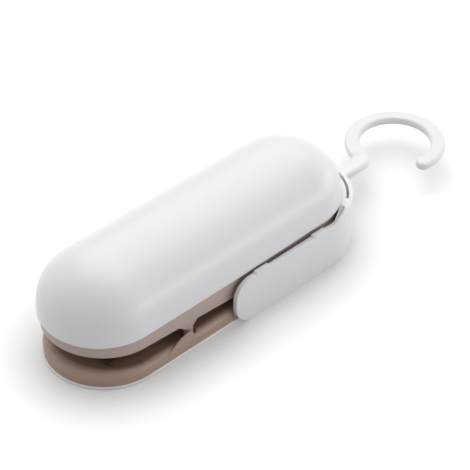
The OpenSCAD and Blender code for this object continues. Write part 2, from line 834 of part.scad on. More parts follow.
module heater_film() {
    color("#a8743c") on_face(heater_x)
        block([holder_w - 2 * film_in, holder_l - 2 * film_in, film_t], -holder_out - ribbon_t - film_t);
}

module heater_screws() {
    color("silver") on_face(heater_screw_x) for (s = [-1, 1])
        translate([0, s * heater_screw_y, floor_t + flange_h]) difference() {
            union() {
                cylinder(d = heater_head_d, h = heater_head_h);
                translate([0, 0, -flange_h - heater_screw_l])
                    cylinder(d = heater_screw_d, h = flange_h + heater_screw_l);
            }
            for (a = [0, 90]) rotate([0, 0, a])
                block([heater_head_d * slot_share, slot_w, slot_h + cut], heater_head_h - slot_h);
        }
}

module heater_terminals() {
    base = floor_t + flange_h;
    tab_x = ribbon_w / 2 + terminal_t;
    color("goldenrod") on_face(heater_x) for (s = [-1, 1]) {
        difference() {
            translate([0, s * ribbon_l / 2, 0]) block([terminal_w, terminal_d, terminal_t], base);
            translate([0, s * ribbon_l / 2, 0])
                block([ribbon_w + 2 * press_gap, ribbon_t + 2 * press_gap, reach], 0);
        }
        translate([tab_x, s * ribbon_l / 2 - terminal_d / 2, base])
            cube([terminal_t, terminal_d, terminal_h]);
    }
}

module switch_body() {
    color("#2a2a2c") on_face(switch_x) difference() {
        block([switch_w, switch_w, switch_h], floor_t);
        translate([0, 0, floor_t - cut])
            cylinder(d = plunger_d + 2 * run_gap, h = switch_h - switch_roof + cut);
    }
}

module switch_plunger() {
    color("#e8e4da") on_face(switch_x) translate([0, 0, -plunger_out]) {
        cylinder(d1 = plunger_d - 2 * plunger_edge, d2 = plunger_d, h = plunger_edge);
        translate([0, 0, plunger_edge])
            cylinder(d = plunger_d, h = plunger_out + plunger_top - plunger_edge);
    }
}

module switch_terminals() {
    color("goldenrod") on_face(switch_x) {
        translate([-tab_w / 2, -switch_w / 2 - tab_l, floor_t + tab_z]) cube([tab_w, tab_l, tab_t]);
        translate([-switch_w / 2 - tab_l, -tab_w / 2, floor_t + tab_z]) cube([tab_l, tab_w, tab_t]);
    }
}

// Cell along X with its nub at the front
module cell() {
    bar_x(nub_d / 2, nub_h + cut);
    translate([nub_h, 0, 0]) bar_x(cell_d / 2, cell_l - nub_h);
}

module battery_left() {
    color("#3f6fa8") translate([cell_front, cell_y, cell_z]) cell();
}

module battery_right() {
    color("#3f6fa8") translate([cell_rear, -cell_y, cell_z]) mirror([1, 0, 0]) cell();
}

// Contact plate for one cell, standing on the front of X
module contact_plate(y) {
    side = cell_d / 2 - plate_in;
    translate([0, y - side, plate_low]) cube([plate_t, 2 * side, plate_high - plate_low]);
}

module dimple() {
    bar_x(nub_d / 2 - dimple_in, contact_l - seat_gap);
}

module link_plate() {
    color("lightgray") {
        translate([front_face - plate_t, 0, 0]) {
            for (s = [-1, 1]) contact_plate(s * cell_y);
            translate([0, -cell_y, cell_z - link_h / 2]) cube([plate_t, 2 * cell_y, link_h]);
        }
        translate([front_face, cell_y, cell_z]) dimple();
    }
}

// Tab that a lead is soldered to
module solder_tab(s) {
    translate([rear_face, s * lead_y - lead_d, lead_z - lead_d])
        cube([plate_t, 2 * lead_d, plate_low - lead_z + lead_d + cut]);
}

module plus_plate() {
    color("lightgray") {
        translate([rear_face, 0, 0]) contact_plate(-cell_y);
        solder_tab(-1);
        translate([rear_face, -cell_y, cell_z]) mirror([1, 0, 0]) dimple();
    }
}

module minus_plate() {
    color("lightgray") {
        translate([rear_face, 0, 0]) contact_plate(cell_y);
        solder_tab(1);
    }
}

module contact_springs() {
    color("lightgray") {
        translate([front_face + contact_wire / 2, -cell_y, cell_z]) rotate([0, 90, 0])
            tube(contact_coil, contact_wire / 2, wire_sides, [0, 0, 1]);
        translate([rear_face - contact_wire / 2, cell_y, cell_z]) rotate([0, -90, 0])
            tube(contact_coil, contact_wire / 2, wire_sides, [0, 0, 1]);
    }
}

module lead(route) {
    tube(route, lead_d / 2, lead_sides, [0, 0, 1]);
}

module lead_plus() {
    color("crimson") lead(plus_route);
}

module lead_minus() {
    color("#202020") lead(minus_route);
}

module lead_heater() {
    color("crimson") lead(heater_route);
}

module top_shell() {
    low = shell_z + seat_gap;
    color("white") difference() {
        pill_turned(shell_c1, shell_c2, dome(shell_r, dome_h, low));
        pill_turned(shell_c1, shell_c2, dome(shell_r - shell_wall, dome_h - shell_wall, low - cut));
        rotate([90, 0, 0]) linear_extrude(reach, center = true) polygon([
            [tongue_x, low - cut], [shell_rear + cut, low - cut],
            [shell_rear + cut, low + shell_rise], [tongue_x, low]
        ]);
    }
}

// Hook

// Rounded right side of the rod's section
rod_side = concat(
    arc([hook_w / 2 - hook_corner_r, hook_corner_r - hook_h / 2], hook_corner_r, -90, 0),
    arc([hook_w / 2 - hook_corner_r, hook_h / 2 - hook_corner_r], hook_corner_r, 0, 90)
);

module rod_section() {
    last = len(rod_side) - 1;
    polygon(concat(rod_side, [for (i = [0:last]) [-rod_side[last - i][0], rod_side[last - i][1]]]));
}

module rod_half() {
    polygon(concat([[0, -hook_h / 2]], rod_side, [[0, hook_h / 2]]));
}

// Journal in the band's boss, with the groove that its clip sits in
module hook_journal() {
    groove = clip_t + 2 * seat_gap;
    difference() {
        translate([hook_boss_x - journal_l, 0, 0]) bar_x(journal_r, stem_x + cut - hook_boss_x + journal_l);
        translate([hook_boss_x - groove, 0, 0]) difference() {
            bar_x(journal_r + cut, groove);
            translate([-cut, 0, 0]) bar_x(clip_in_r, groove + 2 * cut);
        }
    }
}

module hook() {
    color("white") translate([0, 0, hook_z]) {
        translate([stem_x, 0, 0]) rotate([90, 0, 90]) linear_extrude(bend_x - stem_x) rod_section();
        translate([bend_x, hook_bend_r, 0]) rotate([0, 0, -90])
            rotate_extrude(angle = bend_turn) translate([hook_bend_r, 0]) rod_section();
        translate([hook_x, 0, 0]) rotate([0, 0, hook_tip]) {
            rotate_extrude(angle = 90 + bend_turn - hook_tip) translate([hook_r, 0]) rod_section();
            translate([hook_r, 0, 0]) rotate([0, 0, 180]) rotate_extrude(angle = 180) rod_half();
        }
        hook_journal();
        translate([hook_boss_x + fit_gap / 2, 0, 0]) rotate([0, 90, 0]) rotate([0, 0, lug_at - lug_turn / 2])
            rotate_extrude(angle = lug_turn) translate([clip_in_r, 0]) square([lug_r - clip_in_r, lug_l]);
    }
}

module hook_clip() {
    color("silver") translate([hook_boss_x - clip_t - seat_gap, 0, hook_z]) rotate([90, 0, 90])
        linear_extrude(clip_t) difference() {
            circle(clip_r);
            circle(clip_in_r + press_gap);
            translate([0, -clip_in_r]) square([clip_r + cut, 2 * clip_in_r]);
        }
}

base_cover();
lower_jaw();
rear_band();
sealing_pad();
hinge_pin();
base_screws();
return_spring();
upper_frame();
heater_holder();
heating_strip();
heater_film();
heater_screws();
heater_terminals();
switch_body();
switch_plunger();
switch_terminals();
battery_left();
battery_right();
link_plate();
plus_plate();
minus_plate();
contact_springs();
lead_plus();
lead_minus();
lead_heater();
top_shell();
hook();
hook_clip();
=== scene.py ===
"""Looks of a hand-held bag sealer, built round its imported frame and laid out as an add-on."""

import json
import math

import bpy
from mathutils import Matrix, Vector

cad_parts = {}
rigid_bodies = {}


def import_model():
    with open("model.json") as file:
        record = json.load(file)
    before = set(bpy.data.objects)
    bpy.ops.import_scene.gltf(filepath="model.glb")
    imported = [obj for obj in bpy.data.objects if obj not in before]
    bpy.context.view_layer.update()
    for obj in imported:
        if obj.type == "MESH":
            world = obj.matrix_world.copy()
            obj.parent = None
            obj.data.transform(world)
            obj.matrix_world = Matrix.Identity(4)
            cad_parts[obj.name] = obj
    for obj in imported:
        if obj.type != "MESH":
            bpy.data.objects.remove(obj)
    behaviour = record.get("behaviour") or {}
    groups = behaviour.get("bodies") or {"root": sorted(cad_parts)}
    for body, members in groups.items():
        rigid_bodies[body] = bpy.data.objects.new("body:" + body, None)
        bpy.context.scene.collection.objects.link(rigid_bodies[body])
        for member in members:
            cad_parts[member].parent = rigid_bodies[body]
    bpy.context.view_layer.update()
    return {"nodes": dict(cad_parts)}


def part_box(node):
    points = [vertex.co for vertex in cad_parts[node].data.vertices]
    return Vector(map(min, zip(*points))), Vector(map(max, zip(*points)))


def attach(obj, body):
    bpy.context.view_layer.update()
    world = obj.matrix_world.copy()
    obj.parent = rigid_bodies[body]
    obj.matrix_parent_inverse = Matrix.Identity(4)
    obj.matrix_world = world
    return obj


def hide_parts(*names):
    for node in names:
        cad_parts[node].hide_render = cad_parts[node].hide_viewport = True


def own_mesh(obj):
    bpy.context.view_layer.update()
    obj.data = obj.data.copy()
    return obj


for spare in list(bpy.data.objects):
    bpy.data.objects.remove(spare)
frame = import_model()

bl_info = {
    "name": "Bag sealer",
    "version": (1, 0, 0),
    "blender": (4, 5, 0),
    "location": "View3D > Sidebar > Bag sealer",
    "description": "Models and dresses the pieces of a hand-held bag sealer",
    "category": "Object",
}

MM = 0.001
MERGE = 1e-6

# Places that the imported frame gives, in metres
SHELL_LOW, SHELL_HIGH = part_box("top_shell")
SHELL_R = SHELL_HIGH.y
SHELL_FRONT = SHELL_LOW.x + SHELL_R
SHELL_REAR = SHELL_HIGH.x - SHELL_R
RIM_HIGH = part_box("base_cover")[1]
RIM_END = RIM_HIGH.x - RIM_HIGH.y
BAND_LOW, BAND_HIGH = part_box("rear_band")
BAND_R = BAND_HIGH.y
BAND_REAR = BAND_HIGH.x - BAND_R
JAW_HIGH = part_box("lower_jaw")[1]
HOOK_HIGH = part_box("hook")[1]
HOOK_X = HOOK_HIGH.x - HOOK_HIGH.y
HEEL_X = BAND_REAR + 8 * MM
HEEL_FALL = 1.35 / 8
LIP_STEPS = 6
FILL_CUTS = 6
DROP_NECK = 0.35
DROP_DRAW = 0.7
DROP_SLIM = 0.75
# Where the painted shade on the lower jaw's deck begins, in plan from the jaw's middle line, and how wide it fades in
DECK_R = 18.75 * MM
DECK_FADE = 1.3 * MM
NEAR = 0.02 * MM

# Routes of the insulated leads, in metres
PLUS_ROUTE = [
    (0.0395, -0.0122, 0.0144), (0.036, -0.0122, 0.0144), (0.03, -0.0122, 0.0144), (0.02, -0.0122, 0.0144),
    (0.01, -0.0122, 0.0144), (0, -0.0122, 0.0144), (-0.01, -0.0122, 0.0144), (-0.016, -0.0122, 0.0144),
    (-0.0185, -0.012, 0.0146), (-0.0205, -0.0112, 0.0149), (-0.0217, -0.0096, 0.0151), (-0.0219, -0.008, 0.0151),
    (-0.0219, -0.0068, 0.0151),
]
MINUS_ROUTE = [
    (0.0395, 0.0122, 0.0144), (0.036, 0.0122, 0.0144), (0.03, 0.0122, 0.0144), (0.02, 0.0122, 0.0144),
    (0.01, 0.0122, 0.0144), (0, 0.0122, 0.0144), (-0.01, 0.0122, 0.0144), (-0.016, 0.0122, 0.0144),
    (-0.022, 0.0122, 0.0149), (-0.028, 0.012, 0.016), (-0.034, 0.0114, 0.017), (-0.038, 0.0107, 0.0171),
    (-0.04, 0.0105, 0.0171), (-0.0414, 0.0105, 0.0171),
]
HEATER_ROUTE = [
    (-0.0286, 0, 0.0155), (-0.03, 0, 0.0155), (-0.0316, -0.0006, 0.0158), (-0.033, -0.0022, 0.0163),
    (-0.0342, -0.0044, 0.0168), (-0.0354, -0.007, 0.0171), (-0.0368, -0.0092, 0.0171), (-0.0384, -0.0102, 0.0171),
    (-0.04, -0.0105, 0.0171), (-0.0414, -0.0105, 0.0171),
]


def linear(code):
    """Turns an sRGB hex colour into linear red, green, blue and alpha."""
    parts = [int(code[i:i + 2], 16) / 255 for i in (0, 2, 4)]
    return [p / 12.92 if p <= 0.04045 else ((p + 0.055) / 1.055) ** 2.4 for p in parts] + [1]


def per_mm(size):
    """Scale of a pattern whose marks are that many millimetres apart."""
    return 1 / (size * MM)


# Settings that a user would change


def length(name, text, default):
    return bpy.props.FloatProperty(name=name, description=text, default=default, unit="LENGTH", subtype="DISTANCE")


def turn(name, text, default):
    return bpy.props.FloatProperty(name=name, description=text, default=math.radians(default), subtype="ANGLE")


def colour(name, text, code):
    return bpy.props.FloatVectorProperty(
        name=name, description=text, default=linear(code)[:3], subtype="COLOR", min=0, max=1
    )


class SEALER_PG_sizes(bpy.types.PropertyGroup):
    """Sizes of the edges and fine parts that the frame doesn't give"""

    shell_wall: length("Shell wall", "Wall of the top shell", 1.75 * MM)
    shell_edge: length("Shell edge", "Radius of the top shell's lower edge", 0.25 * MM)
    shell_skirt: length("Shell skirt", "Height of the straight wall under the dome", 1.45 * MM)
    shell_rise: length("Shell rise", "Rise of the shell's lower edge towards the rear", 1.18 * MM)
    shell_full: bpy.props.FloatProperty(
        name="Dome fullness", description="Fullness of the dome's section, 2 for an ellipse", default=2.23
    )
    tongue_edge: length("Tongue edge", "Radius of the rear band's outer edge at its tongues", 1.15 * MM)
    tongue_fade: length("Tongue fade", "How far behind a tongue's end its edge gets crisp", 6.5 * MM)
    band_edge: length("Band edge", "Radius of the rear band's other outer edges", 0.25 * MM)
    rim_edge: length("Rim edge", "Radius of the base rim's upper edge", 0.4 * MM)
    ramp_run: length("Ramp run", "Length of the ramps in front of the bag stops", 10 * MM)
    rib_curve: length("Rib curve", "Radius of the hollow flanks that the frame gives those ramps", 4.2 * MM)
    rib_wall: length("Rib wall", "Thickness of the ribs in front of the bag stops", 0.3 * MM)
    heel_run: length("Heel run", "Length of the tapered ends of the heel's inner lip", 6 * MM)
    heel_thin: length("Heel end", "Thickness of those tapered ends at their tips", 0.15 * MM)
    hook_width: length("Hook width", "Width of the hook's bar", 4.9 * MM)
    hook_corner: length("Hook corner", "Radius of the bar's long edges", 1 * MM)
    hook_bend: length("Hook bend", "Radius of the hook's bend, at the middle of its bar", 3.6 * MM)
    hook_fill: length("Hook fillet", "Radius of the fillet inside that bend", 4.5 * MM)
    jaw_edge: length("Jaw edge", "Width of the broken edges on the jaws", 0.18 * MM)
    fine_edge: length("Fine edge", "Width of the broken edges on small pieces", 0.1 * MM)
    drop_radius: length("Solder drop", "Radius of the solder drops on the leads' ends", 1.05 * MM)
    lead_radius: length("Lead radius", "Half of an insulated lead's thickness", 0.7 * MM)


class SEALER_PG_colours(bpy.types.PropertyGroup):
    """Colours of the plastics and the floor"""

    white: colour("White", "White of the shell, band, cover and hook", "f1f1f3")
    taupe: colour("Taupe", "Taupe of the upper jaw", "c1ada5")
    earth: colour("Brown taupe", "Browner taupe of the lower jaw", "b29989")
    # Painted shade: a darker brown for the lower jaw's deck, standing in for the shade in the mouth under the upper
    # jaw, not a mark of heat
    deck_painted_shade: colour("Deck", "Lower jaw's deck, darkened by the heating line", "806654")
    jacket: colour("Cell jacket", "Film round the cells", "3a4f6b")
    floor: colour("Floor", "Floor under the sealer", "cbcbcb")


class SEALER_PG_stage(bpy.types.PropertyGroup):
    """Camera and light"""

    azimuth: turn("Azimuth", "Camera's turn round the sealer", -44.16)
    elevation: turn("Elevation", "Camera's height above the horizon", 39.05)
    distance: length("Distance", "Camera's distance from its target", 0.6146)
    lens: bpy.props.FloatProperty(
        name="Lens", description="Focal length in millimetres", default=153.19, subtype="DISTANCE_CAMERA"
    )
    back_power: bpy.props.FloatProperty(
        name="Back light", description="Power of the soft light behind the sealer", default=2.9, subtype="POWER"
    )
    low_power: bpy.props.FloatProperty(
        name="Low light", description="Power of the faint low light behind the sealer", default=0.15, subtype="POWER"
    )
    side_power: bpy.props.FloatProperty(
        name="Side light", description="Power of the low light at the hook's side", default=2.2, subtype="POWER"
    )
    room: bpy.props.FloatProperty(
        name="Room light", description="Brightness of the room", default=0.4, subtype="FACTOR"
    )
    wall: bpy.props.FloatProperty(
        name="Wall light", description="Brightness that the room gains towards its far wall", default=0.45,
        subtype="FACTOR",
    )
    floor_lift: bpy.props.FloatProperty(
        name="Floor lift", description="Light that the floor adds of its own for the eye", default=0.18,
        subtype="FACTOR",
    )
    open_lift: bpy.props.FloatProperty(
        name="Open floor lift", description="Light that the floor adds where nothing stands near it", default=0.43,
        subtype="FACTOR",
    )
    near: length("Near", "How far the sealer dims the floor round it", 25 * MM)


# Materials


def add(tree, kind, settings=None, links=None):
    """Adds one node with its properties or socket values, and links its sockets to the outputs given."""
    node = tree.nodes.new("ShaderNode" + kind)
    for name, value in (settings or {}).items():
        if isinstance(name, int) or name in node.inputs:
            node.inputs[name].default_value = value
        else:
            setattr(node, name, value)
    for name, output in (links or {}).items():
        tree.links.new(output, node.inputs[name])
    return node


def blank(name):
    """A new material with nothing but its output, and that output."""
    paint = bpy.data.materials.new(name)
    paint.use_nodes = True
    paint.node_tree.nodes.clear()
    return paint, paint.node_tree, add(paint.node_tree, "OutputMaterial")


def surface(name, code, other, patch_mm, grain_mm, grain, rough, shader=None):
    """A surface that drifts between two near colours in patches, with a fine grain that breaks its gloss."""
    paint, tree, out = blank(name)
    place = add(tree, "TexCoord").outputs["Object"]
    patch = add(tree, "TexNoise", {"Scale": per_mm(patch_mm), "Detail": 2.0}, {"Vector": place})
    tint = add(tree, "Mix", {"data_type": "RGBA"}, {"Factor": patch.outputs["Fac"]})
    tint.inputs["A"].default_value = code
    tint.inputs["B"].default_value = other
    speck = add(tree, "TexNoise", {"Scale": per_mm(grain_mm), "Detail": 3.0}, {"Vector": place})
    gloss = add(
        tree, "MapRange", {"To Min": rough[0], "To Max": rough[1]}, {"Value": speck.outputs["Fac"]}
    )
    bump = add(
        tree, "Bump", {"Strength": grain, "Distance": 0.02 * MM}, {"Height": speck.outputs["Fac"]}
    )
    body = add(
        tree, "BsdfPrincipled", shader or {},
        {"Roughness": gloss.outputs["Result"], "Normal": bump.outputs["Normal"]},
    )
    for item in tint.outputs:
        if item.type == "RGBA":
            tree.links.new(item, body.inputs["Base Color"])
    tree.links.new(body.outputs["BSDF"], out.inputs["Surface"])
    return paint


PAINTS = {}


def paint(name):
    """The material of that name, made the first time that it is asked for."""
    if name not in PAINTS:
        PAINTS[name] = PAINT_MAKERS[name](name)
    return PAINTS[name]


def shade(rgb, share):
    """A colour made darker by that share."""
    return [c * share for c in rgb[:3]] + [1]


def moulded_white(name):
    # Injection-moulded ABS from a polished mould: a soft gloss, hardly any grain, a trace of drift in the white
    base = list(bpy.context.scene.sealer_colours.white)
    return surface(name, shade(base, 1.0), shade(base, 0.975), 26, 0.5, 0.05, (0.27, 0.33), {"IOR": 1.5})


def moulded_taupe(name):
    # Injection-moulded ABS from a fine spark-eroded mould: dull satin, even colour with a slight cloudiness
    base = list(bpy.context.scene.sealer_colours.taupe)
    return surface(name, shade(base, 1.0), shade(base, 0.93), 9, 0.35, 0.18, (0.42, 0.52), {"IOR": 1.5})


def moulded_earth(name):
    # The upper jaw's ABS in a browner shade: dull satin. Its deck is mixed towards a darker brown, painted shade for
    # the dark mouth under the upper jaw
    hues = bpy.context.scene.sealer_colours
    coat = surface(
        name, shade(hues.earth, 1.0), shade(hues.earth, 0.93), 9, 0.35, 0.18, (0.42, 0.52), {"IOR": 1.5}
    )
    tree = coat.node_tree
    body = next(node for node in tree.nodes if node.type == "BSDF_PRINCIPLED")
    unshaded_colour = body.inputs["Base Color"].links[0].from_socket
    place = next(node for node in tree.nodes if node.type == "TEX_COORD").outputs["Object"]
    split = add(tree, "SeparateXYZ", None, {"Vector": place}).outputs
    along = add(tree, "Math", {"operation": "ABSOLUTE"}, {0: split["X"]}).outputs[0]
    past = add(tree, "Math", {"operation": "SUBTRACT", 1: RIM_END}, {0: along}).outputs[0]
    turn_x = add(tree, "Math", {"operation": "MAXIMUM", 1: 0.0}, {0: past}).outputs[0]
    plan = add(tree, "CombineXYZ", None, {"X": turn_x, "Y": split["Y"]}).outputs["Vector"]
    out = add(tree, "VectorMath", {"operation": "LENGTH"}, {0: plan}).outputs["Value"]
    # Painted shade: from DECK_R inwards in plan, over DECK_FADE, the colour turns to the deck's darker brown
    reach = add(tree, "MapRange", {"From Min": DECK_R, "From Max": DECK_R - DECK_FADE}, {"Value": out})
    painted_shade_mix = add(tree, "Mix", {"data_type": "RGBA"}, {"Factor": reach.outputs["Result"]})
    tree.links.new(unshaded_colour, painted_shade_mix.inputs["A"])
    painted_shade_mix.inputs["B"].default_value = shade(hues.deck_painted_shade, 1.0)
    for item in painted_shade_mix.outputs:
        if item.type == "RGBA":
            tree.links.new(item, body.inputs["Base Color"])
    return coat


def silicone_dark(name):
    # Moulded silicone rubber: dull, a little dusty, brown
    return surface(name, linear("4f3a2b"), linear("463325"), 4, 0.25, 0.3, (0.62, 0.8), {"IOR": 1.42, "Specular IOR Level": 0.2})


def turned_steel(name):
    # Turned and tumbled steel: bright, with fine turning marks that scatter the light
    return surface(name, linear("c9c8c6"), linear("b5b4b3"), 3, 0.12, 0.12, (0.22, 0.34), {"Metallic": 1.0})


def drawn_wire(name):
    # Hard-drawn spring wire: bright grey with long faint die marks
    return surface(name, linear("b9babd"), linear("9c9da1"), 2, 0.1, 0.1, (0.2, 0.32), {"Metallic": 1.0})


def nickel_strip(name):
    # Nickel-plated steel strip, stamped: warm bright grey, slightly rolled look
    return surface(name, linear("d3d0c9"), linear("bdb9b1"), 5, 0.2, 0.08, (0.18, 0.3), {"Metallic": 1.0})


def stamped_brass(name):
    # Stamped brass tab: yellow, a little tarnished in patches
    return surface(name, linear("d8b469"), linear("b48c45"), 2.5, 0.2, 0.1, (0.24, 0.38), {"Metallic": 1.0})


def rolled_ribbon(name):
    # Rolled resistance ribbon, heat-browned in places: dull grey metal
    return surface(name, linear("a39b92"), linear("80706a"), 3, 0.15, 0.12, (0.32, 0.46), {"Metallic": 1.0})


def pressed_phenolic(name):
    # Pressed phenolic board: dark brown and dull, with a mottled filler
    return surface(name, linear("5d4838"), linear("46342a"), 1.2, 0.3, 0.25, (0.5, 0.66), {"IOR": 1.6})


def coated_cloth(name):
    # Glass cloth coated with a release polymer: tan, waxy, with the weave showing through the coat
    paint_made, tree, out = blank(name)
    place = add(tree, "TexCoord").outputs["Object"]
    weave = []
    for way in ("X", "Y"):
        thread = add(
            tree, "TexWave",
            {"wave_type": "BANDS", "bands_direction": way, "Scale": per_mm(0.45) / 20, "Distortion": 0.6},
            {"Vector": place},
        )
        weave.append(thread.outputs["Fac"])
    cross = add(tree, "Math", {"operation": "MULTIPLY"})
    tree.links.new(weave[0], cross.inputs[0])
    tree.links.new(weave[1], cross.inputs[1])
    tint = add(tree, "ValToRGB", None, {"Fac": cross.outputs["Value"]})
    tint.color_ramp.elements[0].color = linear("8a6238")
    tint.color_ramp.elements[1].color = linear("ad8252")
    bump = add(tree, "Bump", {"Strength": 0.3, "Distance": 0.05 * MM}, {"Height": cross.outputs["Value"]})
    body = add(
        tree, "BsdfPrincipled", {"Roughness": 0.42, "IOR": 1.38},
        {"Base Color": tint.outputs["Color"], "Normal": bump.outputs["Normal"]},
    )
    tree.links.new(body.outputs["BSDF"], out.inputs["Surface"])
    return paint_made


def moulded_black(name):
    # Glass-filled nylon of a small switch: near black, with a fine dull texture
    return surface(name, linear("232325"), linear("2c2c2e"), 2, 0.18, 0.3, (0.45, 0.6), {"IOR": 1.53})


def moulded_cream(name):
    # Acetal of a switch plunger: waxy cream with a soft gloss
    return surface(name, linear("e6e1d4"), linear("dad4c4"), 2, 0.2, 0.08, (0.3, 0.4), {"IOR": 1.48})


def printed_film(name):
    # Shrunk plastic film round a cell, printed a plain colour: glossy, a little wavy from shrinking
    base = list(bpy.context.scene.sealer_colours.jacket)
    return surface(name, shade(base, 1.0), shade(base, 0.86), 6, 1.2, 0.25, (0.2, 0.3), {"IOR": 1.52})


def wire_red(name):
    # Extruded vinyl insulation: strong red, soft satin
    return surface(name, linear("b3221f"), linear("9c1b1a"), 4, 0.3, 0.12, (0.35, 0.48), {"IOR": 1.53})


def wire_black(name):
    # Extruded vinyl insulation: black, soft satin
    return surface(name, linear("1f1f20"), linear("29292a"), 4, 0.3, 0.12, (0.35, 0.48), {"IOR": 1.53})


def tinned_solder(name):
    # Tin solder set in a drop: bright grey with a frosty skin
    return surface(name, linear("c4c6c8"), linear("a7a9ac"), 0.8, 0.15, 0.2, (0.25, 0.42), {"Metallic": 1.0})


PAINT_MAKERS = {
    "abs_white_polished_mould": moulded_white,
    "abs_taupe_satin_mould": moulded_taupe,
    "abs_brown_taupe_satin_mould": moulded_earth,
    "silicone_moulded": silicone_dark,
    "steel_turned": turned_steel,
    "spring_steel_drawn": drawn_wire,
    "nickel_plated_strip_stamped": nickel_strip,
    "brass_stamped": stamped_brass,
    "resistance_ribbon_rolled": rolled_ribbon,
    "phenolic_pressed": pressed_phenolic,
    "glass_cloth_coated": coated_cloth,
    "nylon_black_moulded": moulded_black,
    "acetal_cream_moulded": moulded_cream,
    "shrink_film_printed": printed_film,
    "vinyl_red_extruded": wire_red,
    "vinyl_black_extruded": wire_black,
    "solder_tin_set": tinned_solder,
}


# Modelling


def alone(piece):
    """Leaves only this piece selected, and active."""
    bpy.ops.object.select_all(action="DESELECT")
    bpy.context.view_layer.objects.active = piece
    piece.select_set(True)


def begin(piece, mode="VERT"):
    """Opens a piece for editing with nothing picked."""
    alone(piece)
    bpy.ops.object.mode_set(mode="EDIT")
    bpy.ops.mesh.select_mode(type=mode)
    bpy.ops.mesh.select_all(action="DESELECT")


def end():
    bpy.ops.object.mode_set(mode="OBJECT")


def named(name):
    """Names the piece that was just added."""
    piece = bpy.context.object
    piece.name = piece.data.name = name
    return piece


def settle(piece):
    """Puts a piece's place into its mesh."""
    alone(piece)
    bpy.ops.object.transform_apply(location=True, rotation=True, scale=True)
    return piece


def clean(piece):
    """Merges a piece's doubles and turns its faces outwards."""
    begin(piece)
    bpy.ops.mesh.select_all(action="SELECT")
    bpy.ops.mesh.remove_doubles(threshold=MERGE)
    bpy.ops.mesh.normals_make_consistent(inside=False)
    end()
    return piece


def dress(piece, body, nodes, finish, angle=32):
    """Gives a finished piece its shading and material, sets it on its body and hides the frame nodes that it stands
    for.
    """
    if not piece.data.polygons:
        raise RuntimeError(f"{piece.name} came out empty")
    begin(piece)
    bpy.ops.mesh.select_all(action="SELECT")
    bpy.ops.mesh.remove_doubles(threshold=MERGE)
    end()
    alone(piece)
    bpy.ops.object.shade_smooth_by_angle(angle=math.radians(angle))
    piece.data.materials.clear()
    piece.data.materials.append(paint(finish))
    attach(piece, body)
    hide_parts(*nodes)
    return piece


def pick_edges(piece, angle, test):
    """Opens a piece with its edges sharper than the angle picked, where the test holds for both ends."""
    begin(piece, "EDGE")
    bpy.ops.mesh.edges_select_sharp(sharpness=math.radians(angle))
    end()
    points = [v.co.copy() for v in piece.data.vertices]
    for edge in piece.data.edges:
        edge.select = edge.select and all(test(points[i]) for i in edge.vertices)
    found = sum(edge.select for edge in piece.data.edges)
    if not found:
        raise RuntimeError(f"{piece.name} has no such edge")
    bpy.ops.object.mode_set(mode="EDIT")


def merged(node, name):
    """A copy of a frame node with its loose triangles joined into whole faces."""
    source = frame["nodes"][node]
    piece = bpy.data.objects.new(name, source.data.copy())
    piece.data.name = name
    bpy.context.scene.collection.objects.link(piece)
    begin(piece)
    bpy.ops.mesh.select_all(action="SELECT")
    bpy.ops.mesh.remove_doubles(threshold=MERGE)
    bpy.ops.mesh.dissolve_limited(angle_limit=math.radians(0.4))
    end()
    return piece


def split(piece):
    """Splits a piece's hollow-sided faces, so that each fills cleanly round its holes."""
    begin(piece)
    bpy.ops.mesh.select_all(action="SELECT")
    bpy.ops.mesh.vert_connect_concave()
    end()
    return piece


def broken(piece, width, angle=50, segments=2):
    """Breaks a piece's sharp edges with a narrow bevel."""
    alone(piece)
    tool = piece.modifiers.new("edges", "BEVEL")
    tool.width = width
    tool.segments = segments
    tool.limit_method = "ANGLE"
    tool.angle_limit = math.radians(angle)
    tool.use_clamp_overlap = True
    bpy.ops.object.modifier_apply(modifier=tool.name)
    return piece


def rounded(piece, width, share):
    """Rounds a piece's picked edges, each by its share of the width."""
    alone(piece)
    points = [v.co.copy() for v in piece.data.vertices]
    picked = [edge.select for edge in piece.data.edges]
    weights = piece.data.attributes.new("bevel_weight_edge", "FLOAT", "EDGE")
    for edge, taken in zip(piece.data.edges, picked):
        middle = (points[edge.vertices[0]] + points[edge.vertices[1]]) / 2
        weights.data[edge.index].value = share(middle) if taken else 0
    tool = piece.modifiers.new("round", "BEVEL")
    tool.width = width
    tool.segments = 5
    tool.limit_method = "WEIGHT"
    tool.use_clamp_overlap = True
    bpy.ops.object.modifier_apply(modifier=tool.name)
    return piece


def off_spine(point, front, rear):
    """How far a point lies, in plan, from the line between a pill's two centres."""
    return math.hypot(point.x - min(max(point.x, front), rear), point.y)


def eased_ribs(piece, sizes):
    """Draws the front flanks of the lower jaw's ribs out into long soft ramps."""
    curve = sizes.rib_curve
    wall = [v for v in piece.data.vertices if abs(v.co.y) > JAW_HIGH.y - sizes.rib_wall - MERGE]
    peak = max(v.co.z for v in wall)
    front = min(v.co.x for v in wall if v.co.z > peak - MERGE)
    flank = [
        v for v in wall
        if v.co.x < front and abs(math.hypot(v.co.x - front + curve, v.co.z - peak) - curve) < NEAR
    ]
    if not flank:
        raise RuntimeError(f"{piece.name} has no rib to ease")
    for vertex in flank:
        climb = min(max((vertex.co.z - peak) / curve + 1, 0), 1)
        vertex.co.x = front - sizes.ramp_run * (1 - math.acos(1 - 2 * climb) / math.pi)
    return piece


